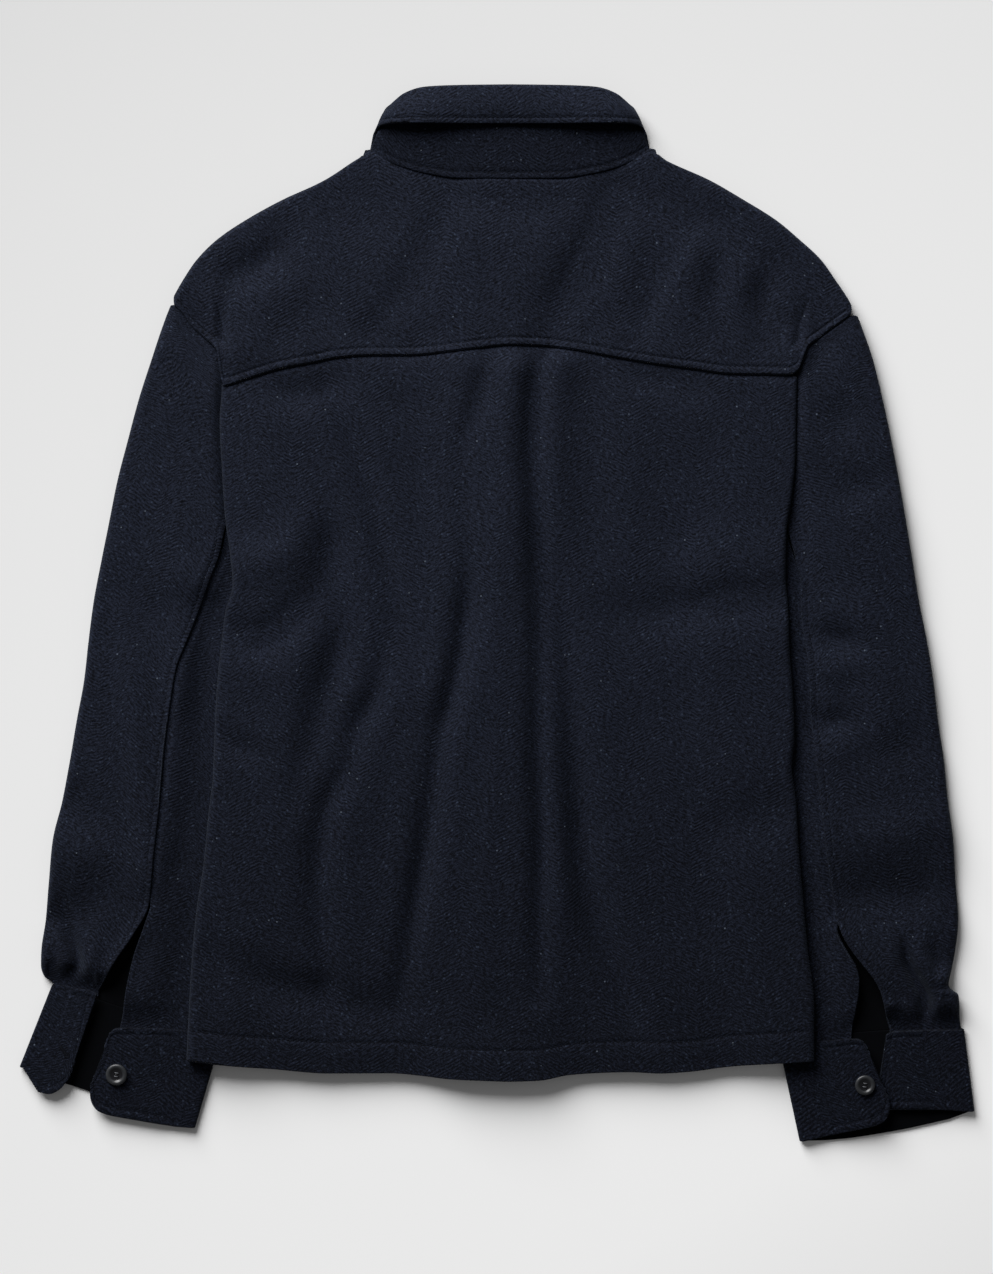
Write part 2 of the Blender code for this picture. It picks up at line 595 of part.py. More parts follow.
def sleeve_under(side, cuff):
    """Lines from the cuff to the armhole, from the back seam round the inner edge to the front seam."""
    sign = 1.0 if side is LEFT else -1.0
    button = [row[:2] for row in cuff["button_run"][2:]] + [cuff["inner_turn"][:2]]
    under = [cuff["inner_turn"][:2]] + [row[:2] for row in cuff["under_run"]]
    radius = (SLEEVE_LEVEL - FLOOR_LEVEL) / 2.0
    slit_top = max(row[0] for row in side["slit_edge"])

    def back_edge(y):
        rows = side["top_edge"] if y > slit_top else side["slit_edge"]
        return float(curve(rows, y)) + sign * HIDDEN_GAP

    def turn_centre(y):
        return float(curve(side["inner"], y)) - sign * (radius + WALL / 2)

    def upper_point(part, y):
        held = min(y, UNDERARM_Y)
        width = turn_centre(held) - back_edge(held)
        return back_edge(y) + part * width

    def lower_point(part, y):
        held = min(y, UNDERARM_Y)
        width = turn_centre(held) - front_seam(side, held)
        return front_seam(side, y) + sign * HIDDEN_GAP + (1.0 - part) * width

    columns = []
    shares = np.concatenate([np.linspace(0.0, 0.32, 9), np.linspace(0.4, 1.0, 8)])
    for part in np.linspace(0.0, 1.0, 5):
        top = UNDERARM_Y - 1.5 + (SLEEVE_JOIN_Y - UNDERARM_Y) * (1.0 - part)
        column = []
        for share in shares:
            y = -315.0
            for attempt in range(3):
                end = cuff_line(button, upper_point(part, y)) + HIDDEN_GAP
                y = end + share * (top - end)
            x = upper_point(part, y)
            column.append((x, y, float(sleeve_level(side, x, y)) if part < 1 else SLEEVE_LEVEL))
        columns.append(column)
    last = columns[-1]
    turns = [half_turn(x, y, SLEEVE_LEVEL, FLOOR_LEVEL, sign, 6) for x, y, z in last]
    for step in range(len(turns[0])):
        columns.append([turn[step] for turn in turns])
    for part in np.linspace(0.0, 1.0, 4):
        top = UNDERARM_Y - 4.0 + (FRONT_JOIN_Y - UNDERARM_Y) * part
        column = []
        for share in shares:
            y = -315.0
            for attempt in range(3):
                end = cuff_line(under, lower_point(part, y)) + HIDDEN_GAP
                y = end + share * (top - end)
            column.append((lower_point(part, y), y, FLOOR_LEVEL))
        columns.append(column)
    return np.array(columns)


def cuff_band(cuff):
    """The band round the wrist from its button end to its buttonhole end."""
    outward = cuff["outward"]
    radius = (CUFF_TOP_LEVEL - 1.0) / 2.0
    middle = (CUFF_TOP_LEVEL + 1.0) / 2.0
    share = np.linspace(0.0, 1.0, 5)

    def station(row):
        seam = np.array([row[0], row[1], row[4]])
        edge = np.array([row[2], row[3], row[4]])
        return [seam + part * (edge - seam) for part in share]

    def turn(row, sign, order):
        made = []
        for angle in np.linspace(0.0, np.pi, 7)[::order]:
            side_step = sign * (radius * np.sin(angle) - radius)
            rise = middle + radius * np.cos(angle)
            made.append(station((row[0] + side_step, row[1], row[2] + side_step, row[3], rise)))
        return made

    def run(rows, count):
        return [station(row) for row in through(rows, np.linspace(0.0, 1.0, count))]

    sections = run(cuff["button_run"], 11)
    sections += turn(cuff["inner_turn"], -outward, 1)
    sections += run(cuff["under_run"], 7)
    sections += turn(cuff["outer_turn"], outward, -1)
    sections += run(cuff["loop_run"], 8)
    return np.array(sections)


def collar_sections(count):
    """Rows of the collar from the centre back to the centre front, smoothly filled in."""
    rows = []
    for row in COLLAR_ROWS:
        rows.append(row["neck"] + row["top"] + row["fold"] + row["edge"] + (row["out"],))
    return through(rows, np.linspace(0.0, 1.0, count))


def mirrored(sections):
    """The right half from the left one, joined at the centre back."""
    other = sections[1:][::-1].copy()
    other[..., 0] = 2 * NECK_CENTRE_X - other[..., 0]
    return np.concatenate([other, sections])


def collar_stand():
    half = []
    for row in collar_sections(19):
        neck = row[0:3] + (row[3:6] - row[0:3]) * 0.02
        top = row[3:6] + (neck - row[3:6]) * 0.06
        half.append([neck + part * (top - neck) for part in np.linspace(0.0, 1.0, 4)])
    return mirrored(np.array(half))


def collar_leaf():
    """From the stand up to the folded edge, round it and down the fall."""
    half = []
    for row in collar_sections(19):
        top = row[3:6]
        fold = row[6:9]
        edge = row[9:12]
        angle = np.radians(row[12])
        out = np.array([-np.sin(angle), 0.35 * np.sin(angle), np.cos(angle)])
        out = out / np.linalg.norm(out)
        run = fold - top
        length = np.linalg.norm(run)
        run = run / length
        radius = 1.4
        start = top + run * SEAM_GAP
        end = fold - run * (radius + WALL / 2)
        section = [start + part * (end - start) for part in np.linspace(0.0, 1.0, 3)]
        for turn in np.linspace(0.0, np.pi, 6)[1:]:
            section.append(end + run * radius * np.sin(turn) + out * radius * (1.0 - np.cos(turn)))
        last = section[-1]
        section += [last + part * (edge - last) for part in (0.33, 0.67, 1.0)]
        half.append(section)
    return mirrored(np.array(half))


def button(name, centre, radius, height, bottom, segments, holed):
    """A turned button with a raised rim and a dished middle, standing on the level given."""
    profile = ((0.0, 0.0), (0.72, 0.0), (0.93, 0.22), (1.0, 0.55), (0.96, 0.9), (0.86, 1.0),
               (0.76, 0.92), (0.62, 0.74), (0.0, 0.68))
    points = [(centre[0], centre[1], bottom)]
    for part, rise in profile[1:-1]:
        for k in range(segments):
            angle = 2 * np.pi * k / segments
            points.append((centre[0] + radius * part * np.cos(angle),
                           centre[1] + radius * part * np.sin(angle), bottom + height * rise))
    points.append((centre[0], centre[1], bottom + height * profile[-1][1]))
    rings = len(profile) - 2
    faces = []
    for k in range(segments):
        after = (k + 1) % segments
        faces.append((0, 1 + after, 1 + k))
        for ring in range(rings - 1):
            base = 1 + ring * segments
            faces.append((base + k, base + after, base + segments + after, base + segments + k))
        base = 1 + (rings - 1) * segments
        faces.append((base + k, base + after, len(points) - 1))
    made = add_object(name, np.array(points), faces, "button")
    if not holed:
        return
    for number in range(4):
        angle = BUTTON_TWIST + number * np.pi / 2
        x = centre[0] + BUTTON_HOLE_SPACING * np.cos(angle)
        y = centre[1] + BUTTON_HOLE_SPACING * np.sin(angle)
        bpy.ops.mesh.primitive_cylinder_add(
            vertices=8, radius=BUTTON_HOLE_RADIUS * MM, depth=3 * height * MM,
            location=((x + CENTRE_SHIFT[0]) * MM, (y + CENTRE_SHIFT[1]) * MM,
                      (bottom + height / 2) * MM))
        cutter = bpy.context.object
        cutter.name = name + "_hole_" + str(number + 1)
        cutter.hide_render = True
        cutter.display_type = "WIRE"
        cut = made.modifiers.new("hole_" + str(number + 1), "BOOLEAN")
        cut.operation = "DIFFERENCE"
        cut.solver = "EXACT"
        cut.object = cutter


def build():
    for existing in list(bpy.data.objects):
        bpy.data.objects.remove(existing, do_unlink=True)
    add_sheet("back_panel", back_panel())
    add_sheet("back_yoke", back_yoke())
    add_sheet("front_left", front_panel(LEFT))
    add_sheet("front_right", front_panel(RIGHT))
    add_sheet("collar_stand", collar_stand())
    add_sheet("collar", collar_leaf())
    add_sheet("sleeve_left_top", sleeve_top(LEFT, LEFT_CUFF))
    add_sheet("sleeve_right_top", sleeve_top(RIGHT, RIGHT_CUFF))
    add_sheet("sleeve_left_under", sleeve_under(LEFT, LEFT_CUFF))
    add_sheet("sleeve_right_under", sleeve_under(RIGHT, RIGHT_CUFF))
    add_sheet("cuff_left", cuff_band(LEFT_CUFF), CUFF_WALL)
    add_sheet("cuff_right", cuff_band(RIGHT_CUFF), CUFF_WALL)
    button("cuff_button_left", (-288.4, -350.0), CUFF_BUTTON_RADIUS, CUFF_BUTTON_HEIGHT,
           3.6 + CUFF_WALL / 2 + 0.3, 24, True)
    button("cuff_button_right", (279.3, -357.6), CUFF_BUTTON_RADIUS, CUFF_BUTTON_HEIGHT,
           CUFF_END_LEVEL + CUFF_WALL / 2 + 0.3, 24, True)
    for number in range(6):
        y = 250.0 - 104.0 * number
        button("front_button_" + str(number + 1), (float(centre_front(y)), y),
               FRONT_BUTTON_RADIUS, FRONT_BUTTON_HEIGHT, 0.0, 12, False)


build()
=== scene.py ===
import math
import bmesh
import bpy
import numpy as np
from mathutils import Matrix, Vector
from mathutils.bvhtree import BVHTree


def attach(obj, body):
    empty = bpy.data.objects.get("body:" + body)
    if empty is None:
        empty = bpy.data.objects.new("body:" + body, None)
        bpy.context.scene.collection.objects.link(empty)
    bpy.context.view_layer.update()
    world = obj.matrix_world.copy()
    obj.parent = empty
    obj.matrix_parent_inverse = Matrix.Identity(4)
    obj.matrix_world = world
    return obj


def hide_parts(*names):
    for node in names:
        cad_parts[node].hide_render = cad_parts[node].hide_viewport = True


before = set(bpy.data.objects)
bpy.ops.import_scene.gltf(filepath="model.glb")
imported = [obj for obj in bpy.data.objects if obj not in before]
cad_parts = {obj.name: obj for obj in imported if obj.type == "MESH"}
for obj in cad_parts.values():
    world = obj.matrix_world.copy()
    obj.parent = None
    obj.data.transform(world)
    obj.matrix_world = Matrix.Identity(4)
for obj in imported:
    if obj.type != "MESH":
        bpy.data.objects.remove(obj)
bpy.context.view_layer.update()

# The garment lies on its front. All lengths below are millimetres, x across, y up to the collar.
mm = 0.001
shift = np.array((-0.4, 0.4, 0.0))

levels = {
    "floor": 0.95,      # middle of a layer that rests on the table
    "layer": 2.4,
    "placket": 2.8,     # the front buttons lift the placket
    "lap": 2.8,         # the other front lies over it
    "sleeve": 3.7,
    "tuck": 6.0,        # body cloth turned under at the sides
    "bodyFold": 7.4,
    "wall": 1.8,
}

neckX = 10.25
underarmY = 22.0


# Small helpers for numbers and points

def ease(value):
    held = np.clip(value, 0.0, 1.0)
    return held * held * (3.0 - 2.0 * held)


def evenly(count):
    return np.linspace(0.0, 1.0, count)


def joined(*parts):  # separate x, y and z into points
    return np.stack(parts, axis=-1)


def unit(vector):
    return vector / np.linalg.norm(vector)


def placed(x, y, z):  # a place in the plan and a height, as a point in metres
    return Vector(((x + shift[0]) * mm, (y + shift[1]) * mm, z * mm))


def curve(rows, at):  # smooth curve through (position, value) rows, without overshoot
    ordered = sorted(rows)
    xs = np.array([row[0] for row in ordered], float)
    ys = np.array([row[1] for row in ordered], float)
    steps = np.diff(xs)
    slopes = np.diff(ys) / steps
    tangents = np.empty(len(xs))
    tangents[0] = slopes[0]
    tangents[-1] = slopes[-1]
    same = slopes[:-1] * slopes[1:] > 0
    total = np.where(same, slopes[:-1] + slopes[1:], 1.0)
    tangents[1:-1] = np.where(same, 2.0 * slopes[:-1] * slopes[1:] / total, 0.0)
    at = np.clip(np.asarray(at, float), xs[0], xs[-1])
    cell = np.clip(np.searchsorted(xs, at, side="right") - 1, 0, len(xs) - 2)
    part = (at - xs[cell]) / steps[cell]
    square = part * part
    cube = square * part
    return ((2 * cube - 3 * square + 1) * ys[cell]
            + (cube - 2 * square + part) * steps[cell] * tangents[cell]
            + (3 * square - 2 * cube) * ys[cell + 1]
            + (cube - square) * steps[cell] * tangents[cell + 1])


def through(rows, at):  # smooth curve through points, places 0 to 1 spread over the rows
    rows = np.asarray(rows, float)
    places = evenly(len(rows))
    return np.stack([curve(list(zip(places, rows[:, k])), at) for k in range(rows.shape[1])], axis=-1)


def softNoise(x, y, size, seed):  # smooth unevenness between -1 and 1
    cells = 97
    offset = 300.0      # keeps the cell numbers above 0
    lattice = np.random.default_rng(seed).uniform(-1.0, 1.0, (cells, cells))
    gx = np.asarray(x, float) / size + offset
    gy = np.asarray(y, float) / size + offset
    ix = np.floor(gx).astype(int)
    iy = np.floor(gy).astype(int)
    fx = ease(gx - ix)
    fy = ease(gy - iy)

    def corner(right, up):
        return lattice[(ix + right) % cells, (iy + up) % cells]

    low = corner(0, 0) * (1 - fx) + corner(1, 0) * fx
    high = corner(0, 1) * (1 - fx) + corner(1, 1) * fx
    return low * (1 - fy) + high * fy


creaseShape = {
    "samples": 30,
    "strength": 1.35,       # deepens or softens all the listed creases together
    "shoulder": 0.24,       # cloth pushed up on both sides, for each unit of depth
    "shoulderAt": 2.0,      # in widths from the crease
    "shoulderWidth": 1.3,
}


def creaseHeight(x, y, creases):  # listed troughs (depth above 0) and ridges (below 0)
    total = np.zeros(np.broadcast(x, y).shape)
    for width, *line in creases:
        points = through(line, evenly(creaseShape["samples"]))
        near = np.full(total.shape, 1e9)
        deep = np.zeros(total.shape)
        for (ax, ay, ad), (bx, by, bd) in zip(points[:-1], points[1:]):
            length = (bx - ax) ** 2 + (by - ay) ** 2
            part = np.clip(((x - ax) * (bx - ax) + (y - ay) * (by - ay)) / length, 0.0, 1.0)
            away = (x - ax - part * (bx - ax)) ** 2 + (y - ay - part * (by - ay)) ** 2
            closer = away < near
            near = np.where(closer, away, near)
            deep = np.where(closer, ad + part * (bd - ad), deep)
        beside = (np.sqrt(near) / width - creaseShape["shoulderAt"]) / creaseShape["shoulderWidth"]
        total = total + deep * (np.exp(-near / width ** 2) - creaseShape["shoulder"] * np.exp(-beside ** 2))
    return total * creaseShape["strength"]


def groove(distance, width):
    return np.exp(-(distance / width) ** 2)


# Outlines of the two sides as (y, x) rows. "sign" is 1 where the body lies towards more x.

leftSide = {
    "name": "Left",
    "sign": 1.0,
    "sleeveTop": 234.0,
    "frontTop": 225.0,
    "outer": ((238, -246), (223, -252), (193, -262), (162, -272), (132, -280), (101, -288),
              (71, -294), (41, -300), (10, -306), (-20, -310), (-51, -313.5), (-81, -319),
              (-111, -324), (-142, -330), (-172, -337), (-203, -340), (-233, -343),
              (-258, -346), (-268, -346.3), (-275, -344.5), (-280, -338.5), (-284, -335.8),
              (-300, -335.8)),
    "fold": ((262, -212), (240, -208.5), (172, -208.5), (147, -210), (104, -208), (74, -206),
             (45, -202), (23, -200), (2, -205.5), (-20, -208.5), (-57, -212), (-94, -214),
             (-123, -215), (-152, -218.5), (-189, -222), (-225, -227.5), (-269, -231.5),
             (-345, -235.5)),
    "topEdge": ((236, -246.6), (226, -237), (217, -231), (209, -222), (199.5, -212),
                (185, -203), (172, -197), (150, -189), (130, -184), (110, -190), (88, -198),
                (66, -205.5), (45, -210), (26, -217), (9, -223), (-7, -229), (-25, -236),
                (-41, -242), (-64, -246), (-101, -251), (-145, -255), (-181, -259),
                (-221, -263), (-244, -275), (-263, -288), (-287, -302)),
    "slitEdge": ((-221, -262.5), (-243, -270), (-260, -276), (-284, -281.5), (-306, -285),
                 (-318, -288)),
    "inner": ((22, -152), (-30, -158), (-100, -168), (-200, -190), (-260, -201),
              (-325, -209.5)),
    "armhole": ((238, -248), (226, -232), (213, -212), (195, -188), (170, -166), (130, -149),
                (90, -141), (50, -143), (22, -152)),
}
rightSide = {
    "name": "Right",
    "sign": -1.0,
    "sleeveTop": 226.0,
    "frontTop": 216.0,
    "outer": ((229, 273), (223, 275.5), (208, 281), (193, 286), (162, 293.7), (132, 300),
              (101, 306), (71, 311), (41, 316), (10, 321), (-20, 327), (-51, 332),
              (-81, 335.5), (-111, 340), (-142, 343), (-172, 347), (-203, 349), (-233, 351),
              (-258, 348.5), (-270, 346), (-281, 343.3), (-285, 344.6), (-290, 350.8), (-308, 352.4),
              (-318, 354)),
    "fold": ((261, 246), (243, 233.7), (212, 230), (182, 228.4), (147, 227.6), (118, 227),
             (89, 224), (60, 220), (31, 219.3), (2, 221.5), (-28, 222.3), (-57, 224.6),
             (-94, 226), (-116, 224), (-145, 227.6), (-174, 229), (-210, 232), (-254, 236),
             (-298, 241), (-345, 241)),
    "topEdge": ((228, 271), (221, 262), (214, 252), (208, 244), (202, 236), (188, 226),
                (172, 218), (150, 208), (130, 202), (110, 207), (88, 214), (60, 222),
                (40, 227), (24, 230.7), (2, 231), (-35, 236), (-57, 237.5), (-79, 238.5),
                (-108, 242), (-145, 246), (-181, 250), (-210, 254.4), (-233, 258.2),
                (-242.4, 261.1), (-250, 264.9), (-259.5, 271.5), (-269, 279.1), (-278.5, 286.4),
                (-288, 290.9), (-305, 295.3), (-316.5, 298.7)),
    "slitEdge": ((-238, 258.6), (-246, 261.2), (-259.5, 268.7), (-269, 274), (-278.5, 276),
                 (-288, 275.6), (-301, 273.6), (-313, 271.6), (-325, 271)),
    "inner": ((22, 168), (-30, 173), (-100, 183), (-200, 199), (-260, 207), (-328, 215.5)),
    "armhole": ((229, 275), (218, 258), (205, 236), (188, 210), (165, 187), (130, 165),
                (90, 157), (50, 159), (22, 168)),
}

# Lines across the back as (x, y) rows
hemLine = ((-245, -338), (-202, -343), (-172, -345.4), (-126, -349), (-81, -349), (-58, -350.7),
           (-35, -353), (-12, -353.8), (10, -354.5), (33, -353.8), (56, -350), (101, -348),
           (124, -349), (147, -347.7), (170, -344.7), (193, -342.4), (250, -339))
yokeSeam = ((-230, 169), (-207, 172), (-191, 176.7), (-168, 184), (-143, 189), (-120, 193.4),
            (-95, 195), (-63.5, 195.4), (-39, 197.6), (-12, 201), (10, 203), (31.5, 202.6),
            (60, 199.2), (90, 194), (119, 189), (148, 185), (177.5, 181), (206, 180.5),
            (225, 177.5), (250, 174))
shoulderLine = ((-250, 231), (-246, 238.5), (-237.5, 253.5), (-227, 269), (-212, 284),
                (-190, 299), (-163, 314), (-130, 329.5), (-105, 345.5), (-97.7, 349.5),
                (-90, 347.6), (-77, 342), (-54, 335), (-27, 330), (10.2, 331), (47.5, 330),
                (74.5, 335), (97.5, 342), (110.5, 347.6), (118.2, 350.5), (129, 344),
                (161, 329.5), (188, 314), (212, 299),
                (230, 284), (246, 269), (257, 253.5), (267, 238.3), (271, 230), (275, 220))
frontNeck = ((17, 275.6), (0, 275.5), (-27, 279), (-58, 291), (-84, 312), (-96.5, 333), (-99, 344.5))


# Heights of the layers

bodyCut = {
    "neckY": 340.0,         # the collar lifts the cloth inside this ring
    "neckRing": 138.0,
    "neckFade": 20.0,
    "armholeTop": 130.0,
    "liftTop": 195.0,       # the sleeves stop lifting the body above this
    "liftFade": 60.0,
}


def centreFront(y):
    return curve(((-355, 2.5), (350, 10.0)), y)


def nearPlacket(x, y, inside, outside):
    return 1.0 - ease((np.abs(x - centreFront(y)) - inside) / (outside - inside))


def nearNeck(x, y):
    away = np.hypot(x - neckX, y - bodyCut["neckY"])
    return 1.0 - ease((away - bodyCut["neckRing"]) / bodyCut["neckFade"])


def tuckEnd(side, y):  # where the body's turned-under cloth ends, at the side seam or the armhole
    y = np.asarray(y, float)
    start = curve(side["inner"], underarmY)
    width = start - curve(side["topEdge"], underarmY)
    share = 1.0 - (y - underarmY) / (bodyCut["armholeTop"] - underarmY)
    armhole = curve(side["topEdge"], y) + width * np.clip(share, 0.0, 1.0)
    return np.where(y < underarmY, curve(side["inner"], y) + side["sign"] * 2.2, armhole)


def sideLift(side, x, y, fall):  # 1 over the sleeve, down to 0 further in
    inward = side["sign"] * (x - tuckEnd(side, y))
    over = 1.0 - ease((inward - 1.0) / fall)
    return over * (1.0 - ease((y - bodyCut["liftTop"]) / bodyCut["liftFade"]))


backCut = {
    "length": 545.0,
    "columns": 132,
    "loft": 6.4,
    "hemWidth": 23.5,
    "seamLap": 2.6,
    "reach": (22.0, 70.0, 44.0),        # placket from and to, and the fall beside the sleeves
    "leastReach": (22.0, 42.0, 24.0),   # the same for the lowest the cloth can lie
    # the width of each trough or ridge, then (x, y, depth) along it
    "creases": (
        (8.5, (33, 203, 3.4), (30, 170, 5.6), (28, 120, 4.8), (31, 60, 5.2), (32, -40, 4.2),
         (31, -100, 5.2), (34, -170, 5.6), (33, -230, 3.8), (32, -290, 1.6)),
        (12, (42, 108, 0.0), (44, 60, 2.0), (49, -12, 4.4), (58, -120, 4.0), (64, -185, 5.6),
         (78, -240, 5.4), (98, -290, 4.4), (110, -320, 1.4)),
        (9, (-6, 196, 1.4), (-14, 160, 2.2), (-26, 110, 1.4), (-21, 40, 2.2), (-24, -10, 5.0),
         (-35, -66, 5.2), (-43, -96, 3.4), (-50, -150, 3.8), (-56, -190, 4.6), (-66, -250, 3.2),
         (-74, -300, 1.4)),
        (9, (-136, 190, 1.2), (-122, 158, 2.0), (-108, 128, 3.4), (-96, 94, 2.6), (-85, 44, 2.0),
         (-73, -2, 1.2), (-66, -30, 0.0)),
        (12, (-128, 84, 0.6), (-124, 40, 2.4), (-119, -6, 2.2), (-123, -36, 3.0), (-138, -90, 2.4),
         (-150, -140, 1.0)),
        (10, (-84, -10, 0.4), (-91, -58, 3.0), (-104, -82, 3.6), (-112, -112, 2.2), (-130, -150, 3.8),
         (-136, -210, 3.0), (-128, -280, 2.0)),
        (13, (-204, -14, 2.0), (-180, -20, 3.6), (-156, -6, 3.4), (-138, 18, 2.6), (-130, 50, 1.0)),
        (9, (-210, -92, 1.6), (-196, -102, 2.4), (-178, -112, 0.6)),
        (15, (-212, -262, 1.2), (-180, -278, 2.4), (-140, -290, 3.4), (-104, -300, 2.8),
         (-70, -306, 0.4)),
        (17, (96, -2, 0.6), (130, 2, 2.6), (170, 8, 3.4), (214, 12, 2.8)),
        (20, (150, -158, 0.6), (180, -160, 2.2), (212, -150, 1.8)),
        (13, (-186, 176, 1.0), (-150, 166, 2.4), (-120, 176, 1.4)),
        (12, (80, 196, 0.6), (110, 180, 2.2), (150, 172, 1.2)),
        (16, (-196, 34, -1.6), (-166, 44, -2.8), (-140, 78, -1.0)),
        (26, (-186, 130, -0.8), (-180, 90, -1.6), (-184, 50, -0.6)),
        (11, (10, 190, -1.6), (8, 140, -1.4), (4, 40, -1.2), (0, -80, -1.4), (-6, -200, -1.0),
         (-8, -290, -0.6)),
        (20, (88, 160, -0.4), (100, 90, -1.6), (96, 30, -0.6)),
    ),
}

yokeCut = {
    "creases": (
        (14, (88, 320, 3.2), (80, 292, 6.2), (66, 262, 6.2), (50, 238, 5.4), (38, 212, 2.8)),
        (13, (-36, 316, 2.0), (-50, 282, 4.4), (-66, 248, 4.0), (-88, 222, 1.6)),
        (19, (-134, 312, 1.4), (-108, 304, 4.4), (-86, 298, 2.4)),
        (15, (104, 318, 2.4), (128, 308, 4.8), (160, 298, 3.4), (184, 286, 1.0)),
        (12, (112, 276, 1.0), (116, 244, 3.4), (108, 212, 1.2)),
        (13, (-20, 311, 1.8), (10, 309, 3.0), (48, 311, 2.0)),
        (12, (172, 276, 1.0), (166, 246, 3.2), (172, 222, 1.0)),
        (11, (208, 262, 1.0), (202, 240, 3.0), (206, 212, 0.8)),
        (14, (-212, 250, 1.0), (-182, 264, 3.4), (-156, 286, 1.0)),
        (14, (-94, 210, 1.2), (-70, 204, 2.4), (-38, 212, 0.6)),
        (24, (-6, 296, -2.2), (14, 264, -3.8), (20, 232, -2.0)),
        (26, (-174, 250, -1.0), (-186, 214, -2.6), (-180, 186, -0.8)),
    ),
    "ridge": 6.2,       # lower edge to the topstitch
    "gap": 0.2,
    "neckHalf": 108.0,  # the collar seam reaches this far to each side
    "wrap": (5.0, 35.0, 9.0, 16.0),     # depth at the neck, what is added past it, from and over
}


def backBase(x, y, inside, outside, fall):
    neck = nearNeck(x, y)
    placket = nearPlacket(x, y, inside, outside)
    level = levels["floor"] + levels["layer"]
    level = level + levels["placket"] * (1.0 - (1.0 - neck) * (1.0 - placket)) + levels["lap"] * placket
    lifts = sideLift(leftSide, x, y, fall) + sideLift(rightSide, x, y, fall)
    above = ease((y - 20.0) / 60.0)
    rise = levels["tuck"] + levels["bodyFold"] - levels["floor"] - levels["layer"]
    return level + (rise - 2.8 * above) * lifts, lifts, neck


def backLevel(x, y):
    level, lifts, neck = backBase(x, y, *backCut["reach"])
    least, tight, _ = backBase(x, y, *backCut["leastReach"])
    loft = backCut["loft"] + 1.5 * softNoise(x, y, 74.0, 3) + 0.45 * softNoise(x, y, 27.0, 5)
    loft = loft + 0.9 * softNoise(x, y * 0.35, 44.0, 8)
    creased = creaseHeight(x, y, backCut["creases"]) + creaseHeight(x, y, yokeCut["creases"])
    shown = level + loft * (1.0 - 0.9 * lifts) * (1.0 - 0.75 * neck) - creased * (1.0 - 0.55 * neck)
    least = least + 0.2 - 3.0 * np.clip(tight, 0.0, 1.0)
    return np.where(shown > least + 0.8, shown, least + 0.8 * np.exp((shown - least - 0.8) / 0.8))


def sleeveLevel(side, x, y):
    outward = side["sign"] * (curve(side["fold"], y) - x)
    cut = sleeveCuts[side["sign"]]
    below = 1.0 - ease((y - cut["rollY"]) / 60.0)
    shown = ease((outward + 5.0 - 6.0 * below) / (12.0 + (cut["rise"] - 12.0) * below))
    shown = np.maximum(shown, ease((y - 205.0) / 40.0))
    nearCuff = ease((y + 322.0) / 46.0)
    creased = creaseHeight(x, y, cut["creases"])
    uneven = 1.2 * softNoise(x, y, 58.0, 11) + 0.4 * softNoise(x, y, 22.0, 12)
    puff = (cut["puff"] * (0.48 + 0.52 * nearCuff) + uneven - creased) * shown
    return levels["sleeve"] + np.maximum(puff, -0.3)


def shownSleeve(side, x, y):
    outward = side["sign"] * (curve(side["fold"], y) - x)
    return ease((outward + 1.0) / 6.0)


